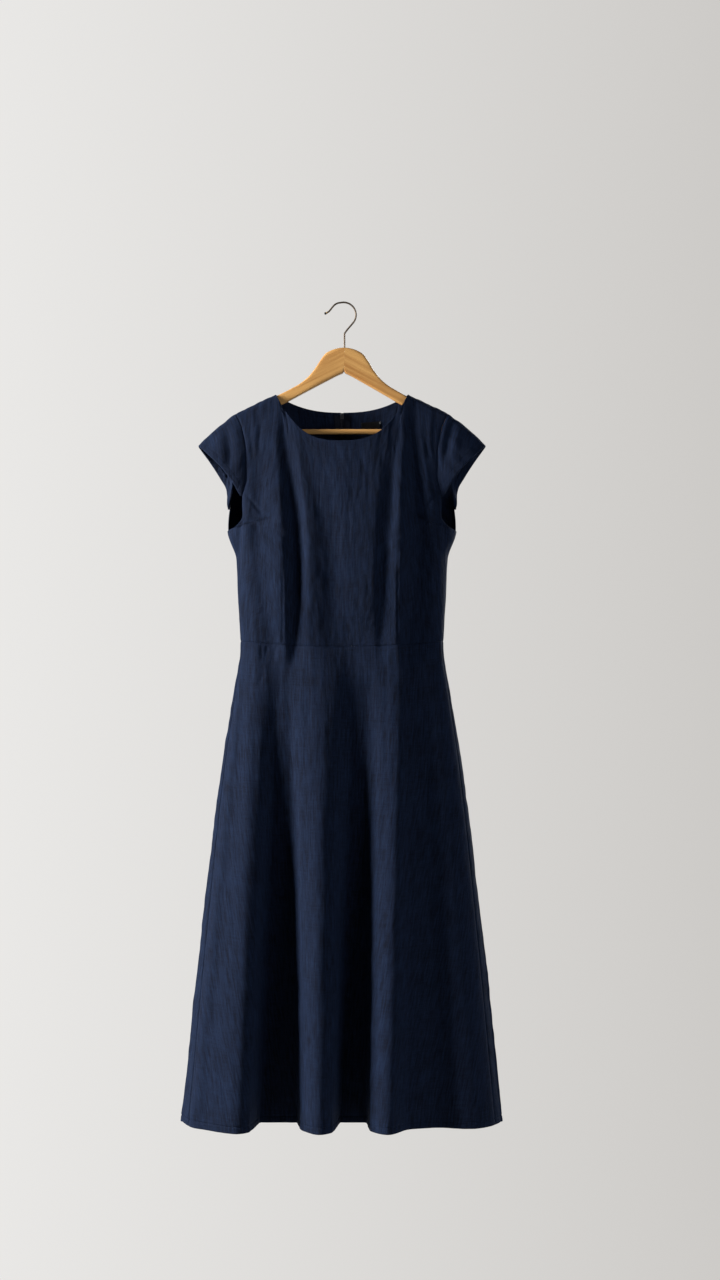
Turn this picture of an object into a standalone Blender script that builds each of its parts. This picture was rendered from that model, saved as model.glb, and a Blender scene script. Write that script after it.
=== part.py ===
"""A-line dress with cap sleeves, hanging on a wooden hanger with a trouser bar.

Run with: blender --background --python part.py

Metres, +Z up. The front of the dress faces -Y and the wearer's left is at +X seen from behind, so
"right" and "left" below are the viewer's, looking along +Y at the front.
The origin is where a peg or rail bears on the underside of the hanger's hook.
Heights on the garment are measured as "down", the distance below that point.
"""

import math
from collections import namedtuple

import bmesh
import bpy
import numpy as np

# ---------------------------------------------------------------- driving sizes
CLOTH = 0.0012  # thickness of every cloth wall
SEAM_GAP = 0.0003  # between two pieces that are sewn together
CENTRE_X = -0.004  # the dress hangs this far to the left of the hook's shank
WAIST_DOWN = 0.549
WAIST_RISE = 0.009  # the waist seam is this much higher at the sides
HEM_DOWN = 1.308

NECK_HALF = 0.1056  # from the centre to the neck end of the shoulder seam
NECK_TOP_DOWN = 0.1462
FRONT_NECK_DOWN = 0.2233
BACK_NECK_DOWN = 0.1735
FRONT_NECK_POWER = 2.8
BACK_NECK_POWER = 2.5
SHOULDER_HALF = 0.1696  # from the centre to the sleeve seam
SHOULDER_DOWN = 0.1765
UNDERARM_DOWN = 0.367
SHOULDER_SLOPE = (SHOULDER_DOWN - NECK_TOP_DOWN) / (SHOULDER_HALF - NECK_HALF)
SHOULDER_ROUND = 0.009  # radius over the hanger's arm
YOKE_HEIGHT, YOKE_BLUNT = 0.12, 0.36  # over the hanger's arm the cloth keeps its round edge
DRAPE_REACH = 0.055  # how soon the cloth leaves the hanger's plane below the shoulder

# Horizontal sections of the body: half width, depth in front of and behind the hanger's plane,
# the two powers of the outline, the angle of the side seam and the underarm corner's reach.
Level = namedtuple("Level", "down half front back full edge seam tail")
LEVELS = (
    #     down   half    front  back   full edge  seam   tail
    Level(0.140, 0.1860, 0.024, 0.010, 2.6, 2.0, -0.10, 0.000),
    Level(0.220, 0.1860, 0.028, 0.016, 2.6, 2.0, -0.10, 0.000),
    Level(0.300, 0.1835, 0.040, 0.021, 2.6, 2.0, -0.10, 0.000),
    Level(0.367, 0.1765, 0.050, 0.024, 2.7, 2.0, -0.10, 0.007),
    Level(0.410, 0.1685, 0.053, 0.025, 2.8, 2.0, 0.00, 0.001),
    Level(0.460, 0.1670, 0.048, 0.024, 2.7, 2.0, 0.06, 0.000),
    Level(0.549, 0.1625, 0.036, 0.022, 2.6, 2.0, 0.15, 0.000),
    Level(0.620, 0.1730, 0.040, 0.025, 2.8, 1.9, 0.18, 0.000),
    Level(0.750, 0.1940, 0.050, 0.031, 3.4, 1.7, 0.24, 0.000),
    Level(1.000, 0.2250, 0.064, 0.040, 4.4, 1.5, 0.30, 0.000),
    Level(1.308, 0.2580, 0.076, 0.046, 5.5, 1.4, 0.33, 0.000),
)
TAIL_SPREAD = 0.35  # radians either side of the underarm corner

# The armhole's edge as angles round the body, 0 at the side and positive towards the front.
ArmholeRow = namedtuple("ArmholeRow", "down front back")
ARMHOLE = (
    ArmholeRow(0.1765, 0.423, -0.423),
    ArmholeRow(0.2000, 0.540, -0.440),
    ArmholeRow(0.2400, 0.610, -0.430),
    ArmholeRow(0.2800, 0.610, -0.340),
    ArmholeRow(0.3150, 0.520, -0.230),
    ArmholeRow(0.3420, 0.500, -0.160),
    ArmholeRow(0.3560, 0.370, -0.130),
    ArmholeRow(0.3630, 0.160, -0.110),
    ArmholeRow(0.3670, -0.100, -0.100),
)

# Folds run down the cloth through crests and valleys. Each row is one of those lines: how far
# across from the dress's centre it is, and how far in from the full depth.
# On the bodice both are given at the top of the bust, at the bust and at the waist.
BODICE_FOLD_DOWNS = (0.203, 0.411, 0.549)
BODICE_FADE = 0.050  # below the waist they fade out over this height
BodiceFold = namedtuple("BodiceFold", "side across deep")
BODICE_FOLDS = (
    BodiceFold("front", (-0.1666, -0.1635, -0.1603), (0.002, 0.001, 0.001)),
    BodiceFold("front", (-0.1493, -0.1524, -0.1446), (0.001, 0.001, 0.001)),
    BodiceFold("front", (-0.1304, -0.1288, -0.1130), (0.004, 0.007, 0.006)),
    BodiceFold("front", (-0.1067, -0.0957, -0.0910), (0.002, 0.000, 0.001)),
    BodiceFold("front", (-0.0910, -0.0690, -0.0740), (0.007, 0.016, 0.009)),
    BodiceFold("front", (-0.0736, -0.0500, -0.0500), (0.003, 0.004, 0.004)),
    BodiceFold("front", (-0.0563, -0.0185, -0.0106), (0.004, 0.010, 0.008)),
    BodiceFold("front", (-0.0027, 0.0130, 0.0209), (0.001, 0.005, 0.005)),
    BodiceFold("front", (0.0572, 0.0493, 0.0509), (0.001, 0.003, 0.003)),
    BodiceFold("front", (0.0871, 0.0666, 0.0619), (0.004, 0.009, 0.005)),
    BodiceFold("front", (0.0965, 0.0887, 0.0871), (0.001, 0.000, 0.001)),
    BodiceFold("front", (0.1130, 0.1190, 0.1080), (0.009, 0.013, 0.008)),
    BodiceFold("front", (0.1297, 0.1486, 0.1407), (0.003, 0.003, 0.003)),
    BodiceFold("front", (0.1675, 0.1659, 0.1612), (0.002, 0.001, 0.001)),
    BodiceFold("back", (-0.1650, -0.1640, -0.1600), (0.001, 0.001, 0.001)),
    BodiceFold("back", (-0.1280, -0.1200, -0.1130), (0.001, 0.001, 0.001)),
    BodiceFold("back", (-0.0980, -0.0860, -0.0880), (0.002, 0.008, 0.006)),
    BodiceFold("back", (-0.0660, -0.0540, -0.0520), (0.001, 0.001, 0.001)),
    BodiceFold("back", (-0.0180, -0.0180, -0.0180), (0.001, 0.002, 0.002)),
    BodiceFold("back", (0.0180, 0.0180, 0.0180), (0.001, 0.002, 0.002)),
    BodiceFold("back", (0.0540, 0.0500, 0.0480), (0.000, 0.000, 0.001)),
    BodiceFold("back", (0.0860, 0.0790, 0.0800), (0.003, 0.009, 0.007)),
    BodiceFold("back", (0.1180, 0.1090, 0.1050), (0.001, 0.001, 0.001)),
    BodiceFold("back", (0.1420, 0.1400, 0.1330), (0.003, 0.005, 0.004)),
    BodiceFold("back", (0.1660, 0.1650, 0.1610), (0.001, 0.001, 0.001)),
)

# On the skirt they are given at the waist and at the hem, and deepen evenly down to the hem.
SKIRT_FOLD_START = 0.500
SkirtFold = namedtuple("SkirtFold", "side at_waist at_hem deep")
SKIRT_FOLDS = (
    SkirtFold("front", -0.1597, -0.2566, 0.008),
    SkirtFold("front", -0.1560, -0.2380, 0.003),
    SkirtFold("front", -0.1510, -0.2160, 0.008),
    SkirtFold("front", -0.1420, -0.1640, 0.001),
    SkirtFold("front", -0.1280, -0.1450, 0.013),
    SkirtFold("front", -0.0960, -0.1270, 0.078),
    SkirtFold("front", -0.0880, -0.0735, 0.078),
    SkirtFold("front", -0.0600, -0.0635, 0.030),
    SkirtFold("front", -0.0330, -0.0340, 0.001),
    SkirtFold("front", -0.0160, -0.0150, 0.013),
    SkirtFold("front", 0.0200, 0.0010, 0.080),
    SkirtFold("front", 0.0330, 0.0370, 0.080),
    SkirtFold("front", 0.0700, 0.0440, 0.024),
    SkirtFold("front", 0.0910, 0.0740, 0.001),
    SkirtFold("front", 0.1120, 0.1080, 0.034),
    SkirtFold("front", 0.1230, 0.1480, 0.041),
    SkirtFold("front", 0.1500, 0.2150, 0.016),
    SkirtFold("front", 0.1603, 0.2568, 0.010),
    SkirtFold("back", -0.1600, -0.2560, 0.010),
    SkirtFold("back", -0.1400, -0.1980, 0.004),
    SkirtFold("back", -0.1120, -0.1500, 0.038),
    SkirtFold("back", -0.1010, -0.1300, 0.038),
    SkirtFold("back", -0.0760, -0.0980, 0.004),
    SkirtFold("back", -0.0460, -0.0600, 0.028),
    SkirtFold("back", -0.0180, -0.0200, 0.006),
    SkirtFold("back", 0.0180, 0.0190, 0.006),
    SkirtFold("back", 0.0400, 0.0540, 0.036),
    SkirtFold("back", 0.0660, 0.0880, 0.004),
    SkirtFold("back", 0.0960, 0.1280, 0.034),
    SkirtFold("back", 0.1060, 0.1440, 0.032),
    SkirtFold("back", 0.1360, 0.1900, 0.004),
    SkirtFold("back", 0.1600, 0.2560, 0.012),
)
MOST_FOLD = 0.9  # the folds never take more than this share of the depth

# The sleeve's open edge, from its front end over the tip to its back end, on the right sleeve.
SleeveEdge = namedtuple("SleeveEdge", "out back_y down")
SLEEVE_EDGE = (
    SleeveEdge(0.1575, -0.0290, 0.3085),
    SleeveEdge(0.1740, -0.0290, 0.2860),
    SleeveEdge(0.1930, -0.0250, 0.2620),
    SleeveEdge(0.2160, -0.0145, 0.2400),
    SleeveEdge(0.2300, 0.0030, 0.2280),
    SleeveEdge(0.2130, 0.0190, 0.2515),
    SleeveEdge(0.1975, 0.0230, 0.2750),
    SleeveEdge(0.1850, 0.0210, 0.2980),
    SleeveEdge(0.1790, 0.0170, 0.3180),
)
SLEEVE_END_DOWN = {"front": 0.311, "back": 0.330}  # where its edge meets the armhole
SLEEVE_END_WIDTH = 0.003
SLEEVE_CROWN = 0.002  # how far the middle of the sleeve swells outwards

# Grids of the cloth pieces, in quads.
BODICE_COLUMNS, BODICE_SHOULDER_COLUMNS = 30, 7
BEND_ROWS, SLEEVE_SEAM_ROWS, UNDERARM_ROWS, LOWER_ROWS = 3, 6, 3, 5  # down a bodice panel
SKIRT_ROWS, SKIRT_FRONT_COLUMNS, SKIRT_BACK_COLUMNS = 11, 44, 21
SLEEVE_ROWS = 5
FINE = 400  # samples along a section before it is shared out into columns

# Zip, label and hanger.
ZIP_END_DOWN = 0.720
ZIP_TOP_SET_BACK = 0.004  # the zip starts this far below the neck edge
TAPE_WIDTH = 0.012
TAPE_THICK = 0.0008
CHAIN_WIDTH = 0.0060
CHAIN_THICK = 0.0014
ZIP_TOP_HALF = 0.0026  # the zip's top stands open this far to each side
ZIP_TOP_DEEP = 0.009
SLIDER_TOP_SET_BACK = 0.0008
SLIDER_WIDTH, SLIDER_LENGTH, SLIDER_THICK = 0.0052, 0.0090, 0.0026
NECK_THICK = 0.0012
BRIDGE_WIDTH, BRIDGE_PLATE, BRIDGE_GAP = 0.0030, 0.0008, 0.0019
PULL_LENGTH = 0.022
PULL_REST = math.radians(8)  # the pull lies along the back
LABEL_WIDTH, LABEL_HEIGHT, LABEL_THICK = 0.030, 0.010, 0.0006
LABEL_ACROSS, LABEL_DOWN, LABEL_TILT = 0.0464, 0.1932, math.radians(5)

# The hanger's wood: how far down its top and underside are and how thick it is, outwards.
ArmRow = namedtuple("ArmRow", "out top bottom thick")
ARMS = (
    ArmRow(0.0000, 0.0713, 0.1116, 0.0120),
    ArmRow(0.0120, 0.0728, 0.1170, 0.0120),
    ArmRow(0.0220, 0.0764, 0.1224, 0.0120),
    ArmRow(0.0310, 0.0822, 0.1273, 0.0120),
    ArmRow(0.0385, 0.0925, 0.1314, 0.0120),
    ArmRow(0.0460, 0.1045, 0.1355, 0.0120),
    ArmRow(0.0555, 0.1172, 0.1407, 0.0120),
    ArmRow(0.0680, 0.1285, 0.1476, 0.0118),
    ArmRow(0.0850, 0.1389, 0.1571, 0.0116),
    ArmRow(0.1040, 0.1489, 0.1668, 0.0114),
    ArmRow(0.1300, 0.1614, 0.1795, 0.0110),
    ArmRow(0.1560, 0.1739, 0.1950, 0.0106),
    ArmRow(0.1680, 0.1799, 0.2095, 0.0104),
    ArmRow(0.1740, 0.1875, 0.2150, 0.0102),
    ArmRow(0.1800, 0.1950, 0.2140, 0.0096),
    ArmRow(0.1830, 0.2010, 0.2100, 0.0080),
)
HANGER_TILT = math.radians(1.0)  # its left arm is a little higher
ARM_ROUND = 0.003
BAR_RADIUS = 0.0042
BAR_DOWN = 0.2056
BAR_HALF = 0.1745
WIRE_RADIUS = 0.0014
HOOK_CENTRE = (-0.0016, -0.0186)
HOOK_RADIUS = 0.020
KINK_DOWN = 0.0482
CROWN_DOWN = 0.0713
SHANK_DEPTH = 0.020  # how far the shank goes into the wood
TIP_RADIUS = 0.0021
HookRow = namedtuple("HookRow", "x down")
HOOK_TIP = (
    HookRow(-0.0105, -0.0002),
    HookRow(-0.0150, 0.0020),
    HookRow(-0.0192, 0.0062),
    HookRow(-0.0228, 0.0108),
    HookRow(-0.0262, 0.0142),
    HookRow(-0.0282, 0.0152),
)

NAVY = (0.022, 0.033, 0.068, 1.0)
NAVY_DARK = (0.012, 0.016, 0.030, 1.0)
BLACK = (0.010, 0.010, 0.011, 1.0)
HONEY_WOOD = (0.560, 0.300, 0.105, 1.0)
STEEL = (0.420, 0.390, 0.350, 1.0)
ZIP_GREY = (0.350, 0.360, 0.380, 1.0)


# ---------------------------------------------------------------- small helpers
def clear_scene():
    for thing in list(bpy.data.objects):
        bpy.data.objects.remove(thing)


def material(name, colour, roughness, metallic=0.0):
    made = bpy.data.materials.new(name)
    made.use_nodes = True
    shader = made.node_tree.nodes["Principled BSDF"]
    shader.inputs["Base Color"].default_value = colour
    shader.inputs["Roughness"].default_value = roughness
    shader.inputs["Metallic"].default_value = metallic
    return made


def add_object(name, mesh, look, smooth_angle=None):
    made = bpy.data.objects.new(name, mesh)
    bpy.context.scene.collection.objects.link(made)
    mesh.materials.append(look)
    if smooth_angle is not None:
        mesh.shade_smooth()
        mesh.set_sharp_from_angle(angle=smooth_angle)
    return made


def smooth_step(value):
    value = np.clip(value, 0.0, 1.0)
    return value * value * (3.0 - 2.0 * value)


def through(x, xs, ys):
    """A smooth curve through the points of a table that never overshoots them."""
    xs, ys = np.asarray(xs, float), np.asarray(ys, float)
    gaps = np.diff(xs)
    slopes = np.diff(ys) / gaps
    before, after = slopes[:-1], slopes[1:]
    same_way = before * after > 0
    total = np.where(same_way, before + after, 1.0)
    middle = np.where(same_way, 2.0 * before * after / total, 0.0)
    tangents = np.concatenate([slopes[:1], middle, slopes[-1:]])
    x = np.clip(x, xs[0], xs[-1])
    i = np.clip(np.searchsorted(xs, x, side="right") - 1, 0, len(gaps) - 1)
    t = (x - xs[i]) / gaps[i]
    rise = ys[i] * (1 + 2 * t) * (1 - t) ** 2 + ys[i + 1] * t * t * (3 - 2 * t)
    return rise + gaps[i] * t * (1 - t) * (tangents[i] * (1 - t) - tangents[i + 1] * t)


def column(table, name):
    return [getattr(row, name) for row in table]


def at_level(down, name):
    return through(down, column(LEVELS, "down"), column(LEVELS, name))


def unit(vectors):
    return vectors / np.linalg.norm(vectors, axis=-1, keepdims=True)


# ---------------------------------------------------------------- the dress's surface
def ridge_down(across):
    """How far down the shoulder line is, at a distance across from the dress's centre."""
    return NECK_TOP_DOWN + SHOULDER_SLOPE * (np.abs(across) - NECK_HALF)


def waist_down(across):
    half = at_level(WAIST_DOWN, "half")
    return WAIST_DOWN - WAIST_RISE * np.minimum(np.abs(across) / half, 1.0) ** 2


def neck_down(across, lowest, power):
    return lowest - (lowest - NECK_TOP_DOWN) * (np.abs(across) / NECK_HALF) ** power


def rounded(across, places, values):
    """A smooth curve through each value at its place, level at the crests and valleys."""
    gaps = [after - before for before, after in zip(places, places[1:])]
    slopes = [(values[k + 1] - values[k]) / gap for k, gap in enumerate(gaps)]
    tangents = [np.zeros_like(across)]
    for before, after in zip(slopes, slopes[1:]):
        same_way = before * after > 0
        total = np.where(same_way, before + after, 1.0)
        tangents.append(np.where(same_way, 2.0 * before * after / total, 0.0))
    tangents.append(np.zeros_like(across))
    total = np.where(across < places[0], values[0], values[-1])
    for k, gap in enumerate(gaps):
        t = np.clip((across - places[k]) / gap, 0.0, 1.0)
        rise = values[k] * (1 + 2 * t) * (1 - t) ** 2 + values[k + 1] * t * t * (3 - 2 * t)
        bend = gap * t * (1 - t) * (tangents[k] * (1 - t) - tangents[k + 1] * t)
        inside = (across >= places[k]) & (across < places[k + 1])
        total = np.where(inside, rise + bend, total)
    return total


def folds(across, down, side):
    """How far the folds take the cloth in from its full depth."""
    across, down = np.broadcast_arrays(across, down)
    top, _, waist = BODICE_FOLD_DOWNS
    rows = [row for row in BODICE_FOLDS if row.side == side]
    level = np.clip(down, top, waist)
    places = [through(level, BODICE_FOLD_DOWNS, row.across) for row in rows]
    deep = [through(level, BODICE_FOLD_DOWNS, row.deep) for row in rows]
    fade = 1.0 - smooth_step((down - waist) / BODICE_FADE)
    total = rounded(across, places, deep) * fade
    rows = [row for row in SKIRT_FOLDS if row.side == side]
    share = np.clip((down - WAIST_DOWN) / (HEM_DOWN - WAIST_DOWN), 0.0, 1.0)
    places = [row.at_waist + (row.at_hem - row.at_waist) * share for row in rows]
    deep = [np.full(share.shape, row.deep) for row in rows]
    grown = np.clip((down - SKIRT_FOLD_START) / (HEM_DOWN - SKIRT_FOLD_START), 0.0, 1.0)
    return total + rounded(across, places, deep) * grown


def side_angle(angle):
    """The angle measured from the nearer side of the body, positive towards the front."""
    return np.arctan2(np.sin(angle), np.abs(np.cos(angle)))


def across_at(angle, down):
    from_corner = (side_angle(angle) - at_level(down, "seam")) / TAIL_SPREAD
    tail = at_level(down, "tail") * np.exp(-(from_corner**2))
    return at_level(down, "half") * np.cos(angle) + tail * np.sign(np.cos(angle))


def body_point(angle, down):
    """The dress's outer surface. The angle is 0 at the right side, a quarter turn at the centre
    front, and negative round the back."""
    angle, down = np.broadcast_arrays(np.asarray(angle, float), np.asarray(down, float))
    across = across_at(angle, down)
    taper = 1.0 - np.abs(np.cos(angle)) ** at_level(down, "full")
    shape = taper ** (1.0 / at_level(down, "edge"))
    yoke = 1.0 - smooth_step((down - SHOULDER_DOWN) / YOKE_HEIGHT)
    blunt = np.sqrt(1.0 - (1.0 - np.minimum(np.abs(np.sin(angle)) / YOKE_BLUNT, 1.0)) ** 2)
    over_arm = shape + yoke * (np.maximum(blunt, shape) - shape)
    drop = np.maximum(down - ridge_down(across), 0.0)
    rounded = np.sqrt(1.0 - (1.0 - np.minimum(drop / SHOULDER_ROUND, 1.0)) ** 2)
    leaving = 1.0 - np.exp(-drop / DRAPE_REACH)
    deep = np.zeros(angle.shape)
    in_front = np.sin(angle) >= 0
    for side, chosen, sign in (("front", in_front, -1.0), ("back", ~in_front, 1.0)):
        full = SHOULDER_ROUND * rounded * over_arm + at_level(down, side) * leaving * shape
        taken = np.minimum(folds(across, down, side) * leaving, MOST_FOLD * full)
        deep = np.where(chosen, sign * (full - taken), deep)
    return np.stack([CENTRE_X + across, deep, -down], axis=-1)


def body_normal(angle, down):
    """Outward normal of the dress's surface, from points a little way off on each side."""
    turn, step = 0.02, 0.001
    along = body_point(angle + turn, down) - body_point(angle - turn, down)
    below = body_point(angle, down + step) - body_point(angle, down - step)
    return unit(np.cross(along, below))


def angle_at(across, down, side):
    """The angle at which the surface is that far across, away from the underarm corner."""
    angle = np.arccos(np.clip(across / at_level(down, "half"), -1.0, 1.0))
    return angle if side == "front" else -angle


# ---------------------------------------------------------------- walls
def wall(name, outer, normals, look, thick=CLOTH):
    """A closed wall: the outer grid of points, the same grid moved in, and a rim joining them."""
    rows, columns = outer.shape[:2]
    inner = outer - normals * thick
    points = np.concatenate([outer.reshape(-1, 3), inner.reshape(-1, 3)])
    number = np.arange(rows * columns).reshape(rows, columns)
    below = rows * columns
    faces = []
    for r in range(rows - 1):
        for c in range(columns - 1):
            quad = [number[r, c], number[r, c + 1], number[r + 1, c + 1], number[r + 1, c]]
            faces.append(quad)
            faces.append([below + corner for corner in reversed(quad)])
    rim = [*number[0, :], *number[1:, -1], *number[-1, -2::-1], *number[-2:0:-1, 0]]
    for a, b in zip(rim, rim[1:] + rim[:1]):
        faces.append([b, a, below + a, below + b])
    mesh = bpy.data.meshes.new(name)
    mesh.from_pydata([tuple(p) for p in points], [], [[int(i) for i in f] for f in faces])
    made = bmesh.new()
    made.from_mesh(mesh)
    bmesh.ops.triangulate(made, faces=made.faces)
    if made.calc_volume(signed=True) < 0:
        bmesh.ops.reverse_faces(made, faces=made.faces)
    made.to_mesh(mesh)
    made.free()
    return add_object(name, mesh, look, smooth_angle=math.radians(50))


def bodice_rows(side):
    """Shares of the height down a bodice panel's side edge: over the hanger's arm, down the
    sleeve's seam, down the open armhole and down the side seam."""
    bends = SHOULDER_ROUND * (1.0 - np.cos(np.linspace(0.0, math.pi / 2, BEND_ROWS + 1)))
    sleeve_end = SLEEVE_END_DOWN[side]
    downs = np.concatenate(
        [
            SHOULDER_DOWN + bends,
            np.linspace(SHOULDER_DOWN + SHOULDER_ROUND, sleeve_end, SLEEVE_SEAM_ROWS + 1)[1:],
            np.linspace(sleeve_end, UNDERARM_DOWN, UNDERARM_ROWS + 1)[1:],
            np.linspace(UNDERARM_DOWN, waist_end(), LOWER_ROWS + 1)[1:],
        ]
    )
    return (downs - SHOULDER_DOWN) / (waist_end() - SHOULDER_DOWN)


def waist_end():
    return float(waist_down(across_at(at_level(WAIST_DOWN, "seam"), WAIST_DOWN)))


def patch(bottom, top, first, last, rows, columns):
    """Angles and downs filled in between four edges. bottom and top are functions of the share
    across, first and last of the share down, and each gives (angle, down)."""
    a, d = columns[None, :, None], rows[:, None, None]
    low, high = np.stack(bottom(columns), -1)[None], np.stack(top(columns), -1)[None]
    start, end = np.stack(first(rows), -1)[:, None], np.stack(last(rows), -1)[:, None]
    corners = (1 - d) * ((1 - a) * high[:, :1] + a * high[:, -1:]) + d * (
        (1 - a) * low[:, :1] + a * low[:, -1:]
    )
    filled = (1 - d) * high + d * low + (1 - a) * start + a * end - corners
    return filled[..., 0], filled[..., 1]


def armhole_edge(share, side, right):
    """The side edge of a bodice panel: the armhole, then the side seam down to the waist."""
    down = SHOULDER_DOWN + share * (waist_end() - SHOULDER_DOWN)
    open_edge = through(down, column(ARMHOLE, "down"), column(ARMHOLE, side))
    gap = SEAM_GAP / 2 / at_level(down, "front")
    sewn = at_level(down, "seam") + (gap if side == "front" else -gap)
    angle = np.where(down < UNDERARM_DOWN - 1e-6, open_edge, sewn)
    if not right:
        angle = math.pi - angle if side == "front" else -math.pi - angle
    return angle, down


def bodice_grid(side, half=None):
    """Outer points and normals of a bodice panel. half is None, "right" or "left"."""
    power, lowest = (
        (FRONT_NECK_POWER, FRONT_NECK_DOWN) if side == "front" else (BACK_NECK_POWER, BACK_NECK_DOWN)
    )
    shoulder = BODICE_SHOULDER_COLUMNS
    neck = BODICE_COLUMNS - 2 * shoulder
    out = np.linspace(SHOULDER_HALF, NECK_HALF, shoulder + 1)
    curve = NECK_HALF * np.cos(math.pi * np.arange(1, neck) / neck)
    across = np.concatenate([out, curve, -out[::-1]])
    shares = np.linspace(0.0, 1.0, BODICE_COLUMNS + 1)
    sign = -1.0 if half == "left" else 1.0
    if half is not None:
        middle = BODICE_COLUMNS // 2
        chosen = slice(0, middle + 1) if half == "right" else slice(middle, None)
        across, shares = across[chosen], shares[chosen]
        across = np.where(np.abs(across) < SEAM_GAP, sign * ZIP_TOP_HALF, across)
    on_shoulder = np.abs(across) >= NECK_HALF - 1e-9
    top_down = np.where(on_shoulder, ridge_down(across), neck_down(across, lowest, power))
    top_angle = angle_at(across, top_down, side)
    columns = (shares - shares[0]) / (shares[-1] - shares[0])

    def top(_):
        return top_angle, top_down

    def centre(rows):
        down = lowest + rows * (WAIST_DOWN - lowest)
        closed = np.clip((down - lowest) / ZIP_TOP_DEEP, 0.0, 1.0)
        across = ZIP_TOP_HALF + (SEAM_GAP / 2 - ZIP_TOP_HALF) * closed
        return angle_at(sign * across, down, side), down

    def edge(right):
        return lambda rows: armhole_edge(rows, side, right)

    first = centre if half == "left" else edge(True)
    last = centre if half == "right" else edge(False)
    start, end = first(np.array([1.0]))[0][0], last(np.array([1.0]))[0][0]

    def bottom(share):
        angle = start + (end - start) * share
        return angle, waist_down(across_at(angle, WAIST_DOWN)) - SEAM_GAP / 2

    angle, down = patch(bottom, top, first, last, bodice_rows(side), columns)
    outer, normals = body_point(angle, down), body_normal(angle, down)
    for place, right in ((0, True), (-1, False)):
        if half in (None, "right" if right else "left"):
            sewn = down[:, place] > UNDERARM_DOWN - 1e-6
            level = down[sewn, place]
            seam = at_level(level, "seam")
            normals[sewn, place] = body_normal(seam if right else math.pi - seam, level)
    outer[0, on_shoulder, 1] = -SEAM_GAP / 2 if side == "front" else SEAM_GAP / 2
    slope = np.sign(across) * SHOULDER_SLOPE
    upright = unit(np.stack([slope, np.zeros_like(slope), np.ones_like(slope)], -1))
    normals[0] = np.where(on_shoulder[:, None], upright, normals[0])
    return outer, normals


# ---------------------------------------------------------------- skirt
def skirt_ends(side, half, down):
    """The angles between which a skirt panel lies at one level."""
    seam = float(at_level(down, "seam"))
    gap = SEAM_GAP / 2 / float(at_level(down, "front"))
    if side == "front":
        return seam + gap, math.pi - seam - gap
    sign = -1.0 if half == "left" else 1.0
    middle = float(angle_at(sign * SEAM_GAP / 2, down, "back"))
    return (middle, seam - gap) if half == "right" else (-math.pi - seam + gap, middle)


def skirt_grid(side, half=None):
    """Outer points and normals of a skirt panel, its columns evenly spaced at every level."""
    count = SKIRT_FRONT_COLUMNS if side == "front" else SKIRT_BACK_COLUMNS
    grids, tangents = [], []
    for share in np.linspace(0.0, 1.0, SKIRT_ROWS + 1):
        level = WAIST_DOWN + SEAM_GAP / 2 + share * (HEM_DOWN - WAIST_DOWN - SEAM_GAP / 2)
        low, high = skirt_ends(side, half, level)
        angles = np.linspace(low - 0.05, high + 0.05, FINE)
        rise = waist_down(across_at(angles, level)) - WAIST_DOWN
        points = body_point(angles, level + rise * (1.0 - share))
        along = np.concatenate([[0.0], np.cumsum(np.linalg.norm(np.diff(points, axis=0), axis=1))])
        first, last = np.interp(low, angles, along), np.interp(high, angles, along)
        places = np.linspace(first, last, count + 1)

        def at(distance):
            return np.stack([np.interp(distance, along, points[:, k]) for k in range(3)], -1)

        grids.append(at(places))
        tangents.append(at(places + 0.002) - at(places - 0.002))
    outer = np.array(grids)
    return outer, unit(np.cross(np.array(tangents), np.gradient(outer, axis=0)))


# ---------------------------------------------------------------- sleeves
def sleeve_seam(right):
    """Points along the sleeve's seam from its front end over the shoulder to its back end, with
    the armhole's normals and the direction away from the armhole."""
    sign = 1.0 if right else -1.0
    points, normals, away = [], [], []
    for side in ("front", "back"):
        rows = bodice_rows(side)[: BEND_ROWS + SLEEVE_SEAM_ROWS + 1]
        angle, down = armhole_edge(rows, side, right)
        seam = body_point(angle, down)
        towards = -0.01 if (side == "front") == right else 0.01
        aside = body_point(angle + towards, down) - seam
        normal = body_normal(angle, down)
        seam[0, 1] = 0.0
        normal[0] = unit(np.array([sign * SHOULDER_SLOPE, 0.0, 1.0]))
        aside[0] = (sign, 0.0, -SHOULDER_SLOPE)
        order = slice(None, 0, -1) if side == "front" else slice(None)
        points.append(seam[order])
        normals.append(normal[order])
        away.append(unit(aside)[order])
    return np.concatenate(points), np.concatenate(normals), np.concatenate(away)


def sleeve_grid(right):
    """Outer points and normals of a cap sleeve, between its seam and its open edge."""
    sign = 1.0 if right else -1.0
    seam, seam_normals, away = sleeve_seam(right)
    seam = seam + away * SEAM_GAP
    top = BEND_ROWS + SLEEVE_SEAM_ROWS
    along = np.concatenate([[0.0], np.cumsum(np.linalg.norm(np.diff(seam, axis=0), axis=1))])
    share = np.where(along < along[top], along / along[top] - 1.0, (along - along[top]) / (along[-1] - along[top]))
    edge_table = np.array([(CENTRE_X + sign * p.out, p.back_y, -p.down) for p in SLEEVE_EDGE])
    edge_table[0] = seam[0] + away[0] * SLEEVE_END_WIDTH
    edge_table[-1] = seam[-1] + away[-1] * SLEEVE_END_WIDTH
    knots = np.linspace(-1.0, 1.0, len(SLEEVE_EDGE))
    open_edge = np.stack([spline(share, knots, edge_table[:, k]) for k in range(3)], -1)
    out = np.linspace(0.0, 1.0, SLEEVE_ROWS + 1)[:, None, None]
    flat = (1.0 - out) * seam + out * open_edge
    fade = np.cos(share * math.pi / 2)[None, :, None] * 0.8 + 0.2
    outer = flat + grid_normals(flat, sign) * SLEEVE_CROWN * 4.0 * out * (1.0 - out) * fade
    normals = grid_normals(outer, sign)
    normals[0] = seam_normals
    return outer, normals


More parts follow.
